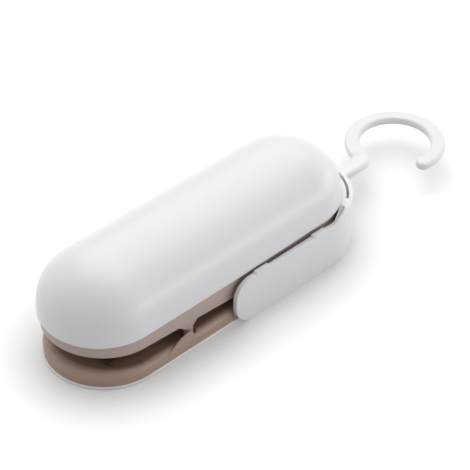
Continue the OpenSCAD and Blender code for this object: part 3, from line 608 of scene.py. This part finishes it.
def tapered_lip(piece, sizes):
    """Draws both ends of the heel's inner lip out along the band's wall, thinner and thinner."""
    for side in (-1, 1):
        begin(piece, "FACE")
        bpy.ops.mesh.select_all(action="DESELECT")
        end()
        ends = [
            face for face in piece.data.polygons
            if face.normal.x < -0.99 and abs(face.center.x - HEEL_X) < MM and face.center.y * side > 0
        ]
        if len(ends) != 1:
            raise RuntimeError(f"{piece.name} has no single lip end on side {side}")
        ends[0].select = True
        corners = [piece.data.vertices[i].co.copy() for i in ends[0].vertices]
        start, top = corners[0].x, max(p.z for p in corners)
        wall = max(math.hypot(p.x - BAND_REAR, p.y) for p in corners)
        room = max(abs(p.y) for p in corners) - min(abs(p.y) for p in corners)
        for step in range(1, LIP_STEPS + 1):
            bpy.ops.object.mode_set(mode="EDIT")
            bpy.ops.mesh.extrude_region_move(TRANSFORM_OT_translate={"value": (0, 0, 0)})
            end()
            share = step / LIP_STEPS
            place = start - sizes.heel_run * share
            outer = math.sqrt(wall ** 2 - (place - BAND_REAR) ** 2)
            inner = outer - room * (1 - share) - sizes.heel_thin * share
            ring = [v for v in piece.data.vertices if v.select]
            middle_y = sum(abs(v.co.y) for v in ring) / len(ring)
            middle_z = sum(v.co.z for v in ring) / len(ring)
            for vertex in ring:
                vertex.co.x = place
                vertex.co.y = side * (outer if abs(vertex.co.y) > middle_y else inner)
                if vertex.co.z > middle_z:
                    vertex.co.z = top - (start - place) * HEEL_FALL
    return piece


def filled_bend(piece, sizes):
    """Draws the tight corner inside the hook's bend out into a wider fillet."""
    half = sizes.hook_width / 2
    ring = HOOK_HIGH.y - half
    bend = Vector((HOOK_X - math.sqrt((ring + sizes.hook_bend) ** 2 - sizes.hook_bend ** 2), sizes.hook_bend))
    high = half + sizes.hook_fill
    fill = Vector((HOOK_X - math.sqrt((HOOK_HIGH.y + sizes.hook_fill) ** 2 - high ** 2), high))
    middle = Vector((HOOK_X, 0))
    first, last = (math.atan2(p.y, p.x - HOOK_X) for p in (bend, fill))
    cuts = []
    for step in range(FILL_CUTS):
        share = step / FILL_CUTS
        around = first + (last - first) * (1 - share)
        cuts.append(((fill.x + (bend.x - fill.x) * share, 0, 0), (1, 0, 0)))
        cuts.append(((HOOK_X, 0, 0), (-math.sin(around), math.cos(around), 0)))
    begin(piece)
    for place, across in cuts:
        bpy.ops.mesh.select_all(action="SELECT")
        bpy.ops.mesh.bisect(plane_co=place, plane_no=across)
    end()
    for vertex in piece.data.vertices:
        spot = vertex.co.xy
        around = math.atan2(spot.y, spot.x - HOOK_X)
        if fill.x < spot.x <= bend.x:
            foot, across = Vector((spot.x, 0)), Vector((0, 1))
        elif spot.x > bend.x and around > first:
            across = (bend - spot).normalized()
            foot = bend - across * sizes.hook_bend
        elif last < around <= first:
            across = (spot - middle).normalized()
            foot = middle + across * ring
        else:
            continue
        if (spot - foot).dot(across) > half - sizes.hook_corner - NEAR:
            gap = foot + across * half - fill
            lean = gap.dot(across)
            room = lean ** 2 - gap.length_squared + sizes.hook_fill ** 2
            if room > 0:
                vertex.co.xy = spot + across * max(-lean - math.sqrt(room), 0)
    return piece


def turned(name, section, front, rear, stations, steps):
    """Carries a half section of (out, high) points round a pill-shaped plan, in straight stretches and two half turns."""
    bpy.ops.object.select_all(action="DESELECT")
    bpy.ops.mesh.primitive_plane_add(size=MM, location=(0, 0, 0))
    piece = named(name)
    bpy.ops.object.mode_set(mode="EDIT")
    bpy.ops.mesh.select_mode(type="VERT")
    bpy.ops.mesh.select_all(action="SELECT")
    bpy.ops.mesh.merge(type="CENTER")
    points = [Vector((rear, -out, high)) for out, high in section]
    bpy.ops.transform.translate(value=points[0])
    for last, point in zip(points, points[1:]):
        bpy.ops.mesh.extrude_region_move(TRANSFORM_OT_translate={"value": point - last})
    bpy.ops.mesh.select_all(action="SELECT")
    for middle, step in ((rear, front - rear), (front, rear - front)):
        bpy.ops.mesh.spin(steps=steps, angle=-math.pi, center=(middle, 0, 0), axis=(0, 0, 1))
        for _ in range(stations):
            bpy.ops.mesh.extrude_region_move(TRANSFORM_OT_translate={"value": (step / stations, 0, 0)})
    end()
    return clean(piece)


def arc(middle, radius, start, stop, count):
    """Points of a round corner, in degrees from one angle to the other."""
    angles = [math.radians(start + (stop - start) * i / count) for i in range(count + 1)]
    return [(middle[0] + radius * math.cos(a), middle[1] + radius * math.sin(a)) for a in angles]


def dome_line(radius, height, foot, fullness, count):
    """Points of the dome's section from its foot to its crown."""
    power = 2 / fullness
    line = []
    for i in range(count + 1):
        t = math.pi / 2 * i / count
        line.append((radius * max(math.cos(t), 0) ** power, foot + height * math.sin(t) ** power))
    line[-1] = (0, foot + height)
    return line


def smooth_route(points, steps):
    """A row of points rounded into a smooth line that passes through each of them."""
    row = [Vector(p) for p in points]
    row = [row[0] * 2 - row[1]] + row + [row[-1] * 2 - row[-2]]
    line = []
    for a, b, c, d in zip(row, row[1:], row[2:], row[3:]):
        for i in range(steps):
            t = i / steps
            line.append(
                (b * 2 + (c - a) * t + (a * 2 - b * 5 + c * 4 - d) * t ** 2 + (b * 3 - a - c * 3 + d) * t ** 3) / 2
            )
    return line + [row[-2]]


def wire(name, points, radius, sides=3):
    """A round wire along a row of points, made a mesh."""
    bpy.ops.object.select_all(action="DESELECT")
    line = bpy.data.curves.new(name, "CURVE")
    line.dimensions = "3D"
    line.bevel_depth = radius
    line.bevel_resolution = sides
    line.use_fill_caps = True
    row = line.splines.new("POLY")
    row.points.add(len(points) - 1)
    for point, place in zip(row.points, points):
        point.co = (*place, 1)
    piece = bpy.data.objects.new(name, line)
    bpy.context.scene.collection.objects.link(piece)
    alone(piece)
    bpy.ops.object.convert(target="MESH")
    return clean(bpy.context.object)


def coil(middle, axis, start_r, stop_r, length_m, turns, per_turn=28):
    """Points of a coil along an axis that narrows from one radius to the other, from CAD's own starting angle."""
    out, side = axis
    ahead = Vector(out).cross(Vector(side))
    row = []
    for i in range(turns * per_turn + 1):
        share = i / (turns * per_turn)
        angle = 2 * math.pi * i / per_turn
        radius = start_r + (stop_r - start_r) * share
        row.append(
            Vector(middle) + Vector(out) * radius * math.cos(angle) + Vector(side) * radius * math.sin(angle)
            + ahead * length_m * share
        )
    return row


# Operators


class SEALER_OT_shell(bpy.types.Operator):
    """Models the domed top shell with its wall and rounded lower edge"""

    bl_idname = "sealer.shell"
    bl_label = "Top shell"

    def execute(self, context):
        sizes = context.scene.sealer_sizes
        low, top = SHELL_LOW.z, SHELL_HIGH.z
        foot = low + sizes.shell_skirt
        inner = SHELL_R - sizes.shell_wall
        edge = sizes.shell_edge
        lip = edge / 2
        outside = dome_line(SHELL_R, top - foot, foot, sizes.shell_full, 40)
        inside = dome_line(inner, top - foot - sizes.shell_wall, foot, sizes.shell_full, 28)
        section = (
            outside[::-1]
            + arc((SHELL_R - edge, low + edge), edge, 0, -90, 6)
            + arc((inner + lip, low + lip), lip, -90, -180, 4)
            + inside
        )
        piece = turned("shell_dome", section, SHELL_FRONT, SHELL_REAR, 12, 48)
        start = BAND_LOW.x
        fade = 4 * MM
        for point in piece.data.vertices:
            along = max(0, (point.co.x - start) / (SHELL_HIGH.x - start))
            share = 1 - min(1, max(0, (point.co.z - low - edge) / fade))
            point.co.z += sizes.shell_rise * along * share
        dress(piece, "shell", ["top_shell"], "abs_white_polished_mould", 40)
        return {"FINISHED"}


class SEALER_OT_band(bpy.types.Operator):
    """Models the rear band, with soft ends to its tongues and crisp edges elsewhere"""

    bl_idname = "sealer.band"
    bl_label = "Rear band"

    def execute(self, context):
        sizes = context.scene.sealer_sizes
        piece = tapered_lip(merged("rear_band", "band_wall"), sizes)
        pick_edges(piece, 40, lambda p: off_spine(p, BAND_LOW.x, BAND_REAR) > BAND_R - 0.03 * MM)
        end()
        least = sizes.band_edge / sizes.tongue_edge
        rounded(piece, sizes.tongue_edge, lambda p: max(least, 1 - (p.x - BAND_LOW.x) / sizes.tongue_fade))
        dress(piece, "base", ["rear_band"], "abs_white_polished_mould", 30)
        return {"FINISHED"}


class SEALER_OT_base(bpy.types.Operator):
    """Dresses the base cover and the lower jaw, with the cover's rim rounded and their edges broken"""

    bl_idname = "sealer.base"
    bl_label = "Base and lower jaw"

    def execute(self, context):
        sizes = context.scene.sealer_sizes
        cover = merged("base_cover", "base_rim")
        pick_edges(cover, 40, lambda p: off_spine(p, -RIM_END, RIM_END) > RIM_HIGH.y - 0.03 * MM)
        bpy.ops.mesh.bevel(offset=sizes.rim_edge, segments=4, profile=0.5)
        end()
        dress(broken(cover, sizes.fine_edge), "base", ["base_cover"], "abs_white_polished_mould")
        jaw = broken(eased_ribs(merged("lower_jaw", "jaw_lower"), sizes), sizes.jaw_edge)
        dress(jaw, "base", ["lower_jaw"], "abs_brown_taupe_satin_mould")
        return {"FINISHED"}


class SEALER_OT_arm(bpy.types.Operator):
    """Dresses the frame of the press arm, with its edges broken"""

    bl_idname = "sealer.arm"
    bl_label = "Press arm"

    def execute(self, context):
        piece = broken(split(merged("upper_frame", "jaw_upper")), context.scene.sealer_sizes.jaw_edge)
        dress(piece, "press_arm", ["upper_frame"], "abs_taupe_satin_mould")
        return {"FINISHED"}


class SEALER_OT_hook(bpy.types.Operator):
    """Dresses the swivelling hook and its clip"""

    bl_idname = "sealer.hook"
    bl_label = "Hook"

    def execute(self, context):
        rod = filled_bend(merged("hook", "hook_rod"), context.scene.sealer_sizes)
        dress(rod, "hook", ["hook"], "abs_white_polished_mould", 40)
        clip = broken(merged("hook_clip", "hook_ring_clip"), context.scene.sealer_sizes.fine_edge)
        dress(clip, "hook", ["hook_clip"], "steel_turned")
        return {"FINISHED"}


class SEALER_OT_cells(bpy.types.Operator):
    """Models the two cells: a can with its nub, in a shrunk film jacket"""

    bl_idname = "sealer.cells"
    bl_label = "Cells"

    def execute(self, context):
        for node, side, ahead in (("battery_left", "left", -1), ("battery_right", "right", 1)):
            low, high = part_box(node)
            middle = (low + high) / 2
            radius = (high.z - low.z) / 2
            nub = 1.2 * MM
            long = high.x - low.x - nub
            place = Vector((middle.x - ahead * nub / 2, middle.y, middle.z))
            self.jacket(f"cell_{side}_jacket", place, radius, long)
            self.can(f"cell_{side}_can", place, radius - 0.25 * MM, long - 0.5 * MM, ahead, nub)
            dress(bpy.data.objects[f"cell_{side}_jacket"], "press_arm", [node], "shrink_film_printed")
            dress(bpy.data.objects[f"cell_{side}_can"], "press_arm", [node], "nickel_plated_strip_stamped")
        return {"FINISHED"}

    def roll(self, name, place, radius, long):
        """A cylinder along the sealer with its place put into its mesh, for one end or the other to be picked."""
        bpy.ops.object.select_all(action="DESELECT")
        bpy.ops.mesh.primitive_cylinder_add(
            vertices=64, radius=radius, depth=long, location=place, rotation=(0, math.pi / 2, 0)
        )
        return settle(named(name))

    def pick_end(self, piece, way):
        begin(piece, "FACE")
        end()
        for face in piece.data.polygons:
            face.select = face.normal.x * way > 0.9
        bpy.ops.object.mode_set(mode="EDIT")

    def jacket(self, name, place, radius, long):
        """Film with its rims turned over the can's ends."""
        piece = self.roll(name, place, radius, long)
        for way in (-1, 1):
            self.pick_end(piece, way)
            bpy.ops.mesh.inset(thickness=1.3 * MM)
            bpy.ops.mesh.extrude_region_move(TRANSFORM_OT_translate={"value": (-way * 0.35 * MM, 0, 0)})
            end()
        pick_edges(piece, 40, lambda p: math.hypot(p.y - place.y, p.z - place.z) > radius - MERGE)
        bpy.ops.mesh.bevel(offset=0.6 * MM, segments=4, profile=0.5)
        end()

    def can(self, name, place, radius, long, ahead, nub):
        """Steel can with a pressed nub at one end and a shallow dish at the other."""
        piece = self.roll(name, place, radius, long)
        self.pick_end(piece, ahead)
        bpy.ops.mesh.inset(thickness=radius - 3.4 * MM)
        bpy.ops.mesh.extrude_region_move(TRANSFORM_OT_translate={"value": (ahead * 0.4 * MM, 0, 0)})
        bpy.ops.mesh.inset(thickness=0.8 * MM)
        bpy.ops.mesh.extrude_region_move(TRANSFORM_OT_translate={"value": (ahead * (nub - 0.15 * MM), 0, 0)})
        end()
        self.pick_end(piece, -ahead)
        bpy.ops.mesh.inset(thickness=radius - 5.0 * MM)
        bpy.ops.mesh.inset(thickness=0.4 * MM, depth=0.2 * MM)
        end()
        broken(piece, 0.25 * MM, 40, 3)


class SEALER_OT_contacts(bpy.types.Operator):
    """Dresses the contact plates and terminals, with their edges broken"""

    bl_idname = "sealer.contacts"
    bl_label = "Contacts"

    def execute(self, context):
        edge = context.scene.sealer_sizes.fine_edge
        for node, name in (("link_plate", "contact_link"), ("plus_plate", "contact_plus"), ("minus_plate", "contact_minus")):
            piece = broken(merged(node, name), edge)
            dress(piece, "press_arm", [node], "nickel_plated_strip_stamped")
        for node, name in (("heater_terminals", "tabs_heater"), ("switch_terminals", "tabs_switch")):
            piece = broken(merged(node, name), edge)
            dress(piece, "press_arm", [node], "brass_stamped")
        return {"FINISHED"}


class SEALER_OT_springs(bpy.types.Operator):
    """Winds the return spring and the two contact springs"""

    bl_idname = "sealer.springs"
    bl_label = "Springs"

    def execute(self, context):
        low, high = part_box("return_spring")
        half = 0.35 * MM
        middle = ((low.x + high.x) / 2, (low.y + high.y) / 2, low.z + half)
        radius = (high.y - low.y) / 2 - half
        row = coil(middle, ((1, 0, 0), (0, 1, 0)), radius, radius, high.z - low.z - 2 * half, 7)
        piece = wire("spring_return", row, half)
        dress(piece, "base", ["return_spring"], "spring_steel_drawn", 60)
        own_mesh(piece)
        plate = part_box("link_plate")
        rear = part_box("minus_plate")
        cells = {side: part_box(f"battery_{side}") for side in ("left", "right")}
        thin = 0.25 * MM
        for name, side, face, way in (
            ("spring_contact_front", "right", plate[0].x + 0.5 * MM, 1),
            ("spring_contact_rear", "left", rear[0].x, -1),
        ):
            cell = cells[side]
            middle = (face + way * thin, (cell[0].y + cell[1].y) / 2, (cell[0].z + cell[1].z) / 2)
            gap = abs((cell[0].x if way > 0 else cell[1].x) - face)
            axes = ((0, 0, -way), (0, 1, 0))
            row = coil(middle, axes, 4.2 * MM, 2.4 * MM, gap - 2 * thin, 2)
            piece = wire(name, row, thin)
            dress(piece, "press_arm", ["contact_springs"], "spring_steel_drawn", 60)
        return {"FINISHED"}


class SEALER_OT_leads(bpy.types.Operator):
    """Lays the three insulated leads along their routes and sets their solder"""

    bl_idname = "sealer.leads"
    bl_label = "Leads"

    def execute(self, context):
        radius = context.scene.sealer_sizes.lead_radius
        for node, name, route, slot, finish in (
            ("lead_plus", "wire_plus", PLUS_ROUTE, "lead_red", "vinyl_red_extruded"),
            ("lead_minus", "wire_minus", MINUS_ROUTE, "lead_black", "vinyl_black_extruded"),
            ("lead_heater", "wire_heater", HEATER_ROUTE, "lead_red", "vinyl_red_extruded"),
        ):
            piece = wire(name, smooth_route(route, 8), radius, 4)
            dress(piece, "press_arm", [node], finish, 60)
        drops = self.drops(context.scene.sealer_sizes.drop_radius)
        dress(drops, "press_arm", ["lead_plus", "lead_minus", "lead_heater"], "solder_tin_set", 60)
        return {"FINISHED"}

    def drops(self, radius):
        """Models one drop of solder, sets a copy on each end of the leads and joins them."""
        bpy.ops.object.select_all(action="DESELECT")
        bpy.ops.mesh.primitive_uv_sphere_add(segments=16, ring_count=10, radius=radius)
        first = named("lead_solder")
        begin(first)
        end()
        for vertex in first.data.vertices:
            vertex.select = vertex.co.z > radius * DROP_NECK
        bpy.ops.object.mode_set(mode="EDIT")
        bpy.ops.transform.translate(value=(0, 0, radius * DROP_DRAW))
        bpy.ops.transform.resize(value=(DROP_SLIM, DROP_SLIM, 1))
        end()
        ends = []
        for route in (PLUS_ROUTE, MINUS_ROUTE, HEATER_ROUTE):
            for spot, ahead in ((route[0], route[1]), (route[-1], route[-2])):
                copy = bpy.data.objects.new("lead_solder_copy", first.data.copy())
                bpy.context.scene.collection.objects.link(copy)
                copy.location = spot
                along = Vector(ahead) - Vector(spot)
                copy.rotation_euler = Vector((0, 0, 1)).rotation_difference(along).to_euler()
                ends.append(settle(copy))
        bpy.data.objects.remove(first)
        alone(ends[0])
        for copy in ends[1:]:
            copy.select_set(True)
        bpy.ops.object.join()
        return named("lead_solder")


class SEALER_OT_heater(bpy.types.Operator):
    """Dresses the heating line, its holder and film, and the silicone pad"""

    bl_idname = "sealer.heater"
    bl_label = "Heating line and pad"

    def execute(self, context):
        edge = context.scene.sealer_sizes.fine_edge
        for node, name, body, slot, finish in (
            ("heater_holder", "heat_holder", "press_arm", "holder_board", "phenolic_pressed"),
            ("heating_strip", "heat_ribbon", "press_arm", "heating_ribbon", "resistance_ribbon_rolled"),
            ("heater_film", "heat_film", "press_arm", "release_film", "glass_cloth_coated"),
            ("sealing_pad", "pad_silicone", "base", "silicone_pad", "silicone_moulded"),
        ):
            width = {"sealing_pad": 4 * edge, "heater_film": edge / 2, "heating_strip": edge / 2}.get(node, edge)
            dress(broken(merged(node, name), width, 50, 3), body, [node], finish)
        return {"FINISHED"}


class SEALER_OT_switch(bpy.types.Operator):
    """Dresses the switch and its plunger"""

    bl_idname = "sealer.switch"
    bl_label = "Switch"

    def execute(self, context):
        edge = context.scene.sealer_sizes.fine_edge
        case = broken(merged("switch_body", "switch_case"), 3 * edge, 50, 3)
        dress(case, "press_arm", ["switch_body"], "nylon_black_moulded")
        knob = broken(merged("switch_plunger", "switch_pin"), edge, 30, 3)
        dress(knob, "plunger", ["switch_plunger"], "acetal_cream_moulded")
        return {"FINISHED"}


class SEALER_OT_fasteners(bpy.types.Operator):
    """Dresses the hinge pin and the screws"""

    bl_idname = "sealer.fasteners"
    bl_label = "Pin and screws"

    def execute(self, context):
        edge = context.scene.sealer_sizes.fine_edge
        for node, name, body in (
            ("hinge_pin", "pin_hinge", "base"),
            ("base_screws", "screws_base", "base"),
            ("heater_screws", "screws_heater", "press_arm"),
        ):
            dress(broken(merged(node, name), edge, 40), body, [node], "steel_turned")
        return {"FINISHED"}


class SEALER_OT_stage(bpy.types.Operator):
    """Sets the floor, the soft lights and the camera"""

    bl_idname = "sealer.stage"
    bl_label = "Stage"

    def execute(self, context):
        stage = context.scene.sealer_stage
        target = Vector((15.49, 0, 12.43)) * MM
        self.floor(context, stage)
        self.room(context, stage)
        self.lamp(context, "light_back", (0.294, 0.287, 0.705), (0.8, 0.8), stage.back_power, target)
        self.lamp(context, "light_low", (0.34, 0.36, 0.31), (0.3, 0.2), stage.low_power, target)
        self.lamp(context, "light_side", (0.53, -0.53, 0.13), (1.2, 0.24), stage.side_power, target)
        back = Vector((
            math.sin(stage.azimuth) * math.cos(stage.elevation),
            -math.cos(stage.azimuth) * math.cos(stage.elevation),
            math.sin(stage.elevation),
        ))
        lens = bpy.data.cameras.new("camera")
        lens.sensor_width = 36
        lens.lens = stage.lens
        lens.clip_start, lens.clip_end = 0.01, 20
        eye = bpy.data.objects.new("camera", lens)
        context.scene.collection.objects.link(eye)
        eye.location = target + back * stage.distance
        eye.rotation_euler = back.to_track_quat("Z", "Y").to_euler()
        context.scene.camera = eye
        context.scene.view_settings.view_transform = "Standard"
        return {"FINISHED"}

    def seen(self, tree):
        """One for what the camera sees, straight or through a reflection or glass, and none for the rest."""
        path = add(tree, "LightPath")
        both = add(tree, "Math", {"operation": "MAXIMUM"})
        tree.links.new(path.outputs["Is Camera Ray"], both.inputs[0])
        tree.links.new(path.outputs["Is Glossy Ray"], both.inputs[1])
        last = add(tree, "Math", {"operation": "MAXIMUM"})
        tree.links.new(both.outputs["Value"], last.inputs[0])
        tree.links.new(path.outputs["Is Transmission Ray"], last.inputs[1])
        return last.outputs["Value"]

    def floor(self, context, stage):
        bpy.ops.object.select_all(action="DESELECT")
        bpy.ops.mesh.primitive_plane_add(size=6, location=(0, 0, -0.02 * MM))
        piece = settle(named("floor"))
        # Matt painted board: even and pale, and it lifts itself to white for the eye, less so close to the sealer
        paint_made, tree, out = blank("board_painted_matt")
        matt = add(tree, "BsdfDiffuse", {"Color": list(context.scene.sealer_colours.floor) + [1]})
        shut = add(tree, "AmbientOcclusion", {"samples": 8, "Distance": stage.near})
        lift = add(
            tree, "MapRange",
            {"From Min": 0.5, "From Max": 1.0, "To Min": stage.floor_lift, "To Max": stage.floor_lift + stage.open_lift},
            {"Value": shut.outputs["AO"]},
        )
        power = add(tree, "Math", {"operation": "MULTIPLY"})
        tree.links.new(self.seen(tree), power.inputs[0])
        tree.links.new(lift.outputs["Result"], power.inputs[1])
        glow = add(tree, "Emission", None, {"Strength": power.outputs["Value"]})
        total = add(tree, "AddShader")
        tree.links.new(matt.outputs["BSDF"], total.inputs[0])
        tree.links.new(glow.outputs["Emission"], total.inputs[1])
        tree.links.new(total.outputs["Shader"], out.inputs["Surface"])
        piece.data.materials.append(paint_made)

    def room(self, context, stage):
        world = bpy.data.worlds.new("room")
        context.scene.world = world
        world.use_nodes = True
        tree = world.node_tree
        tree.nodes.clear()
        # Even room light that grows towards the far wall
        ahead = Vector((-0.3, 1, 0.3)).normalized()
        side = add(tree, "TexCoord").outputs["Generated"]
        up = add(tree, "VectorMath", {"operation": "DOT_PRODUCT"})
        tree.links.new(side, up.inputs[0])
        up.inputs[1].default_value = ahead
        power = add(
            tree, "MapRange", {"From Min": 0.0, "From Max": 1.0, "To Min": stage.room, "To Max": stage.room + stage.wall},
            {"Value": up.outputs["Value"]},
        )
        dim = add(tree, "Background", {"Color": (1, 1, 1, 1)}, {"Strength": power.outputs["Result"]})
        bright = add(tree, "Background", {"Color": (1, 1, 1, 1), "Strength": 1.0})
        both = add(tree, "MixShader", None, {"Fac": self.seen(tree)})
        tree.links.new(dim.outputs["Background"], both.inputs[1])
        tree.links.new(bright.outputs["Background"], both.inputs[2])
        add(tree, "OutputWorld", None, {"Surface": both.outputs["Shader"]})

    def lamp(self, context, name, place, size, power, target):
        light = bpy.data.lights.new(name, "AREA")
        light.shape = "RECTANGLE"
        light.size, light.size_y = size
        light.energy = power
        lamp = bpy.data.objects.new(name, light)
        context.scene.collection.objects.link(lamp)
        lamp.location = place
        lamp.rotation_euler = (Vector(place) - target).to_track_quat("Z", "Y").to_euler()


STEPS = (
    SEALER_OT_shell, SEALER_OT_band, SEALER_OT_base, SEALER_OT_arm, SEALER_OT_hook, SEALER_OT_cells,
    SEALER_OT_contacts, SEALER_OT_springs, SEALER_OT_leads, SEALER_OT_heater, SEALER_OT_switch,
    SEALER_OT_fasteners, SEALER_OT_stage,
)


class SEALER_PT_panel(bpy.types.Panel):
    """Lists the steps that build the sealer"""

    bl_idname = "SEALER_PT_panel"
    bl_label = "Bag sealer"
    bl_space_type = "VIEW_3D"
    bl_region_type = "UI"
    bl_category = "Bag sealer"

    def draw(self, context):
        for step in STEPS:
            self.layout.operator(step.bl_idname)


GROUPS = {"sealer_sizes": SEALER_PG_sizes, "sealer_colours": SEALER_PG_colours, "sealer_stage": SEALER_PG_stage}


def register():
    for kind in (*GROUPS.values(), *STEPS, SEALER_PT_panel):
        bpy.utils.register_class(kind)
    for name, kind in GROUPS.items():
        setattr(bpy.types.Scene, name, bpy.props.PointerProperty(type=kind))


def unregister():
    for name in GROUPS:
        delattr(bpy.types.Scene, name)
    for kind in reversed((*GROUPS.values(), *STEPS, SEALER_PT_panel)):
        bpy.utils.unregister_class(kind)


def main():
    register()
    bpy.ops.sealer.stage()
    bpy.ops.sealer.shell()
    bpy.ops.sealer.band()
    bpy.ops.sealer.base()
    bpy.ops.sealer.arm()
    bpy.ops.sealer.hook()
    bpy.ops.sealer.cells()
    bpy.ops.sealer.contacts()
    bpy.ops.sealer.springs()
    bpy.ops.sealer.leads()
    bpy.ops.sealer.heater()
    bpy.ops.sealer.switch()
    bpy.ops.sealer.fasteners()


if __name__ == "__main__":
    main()
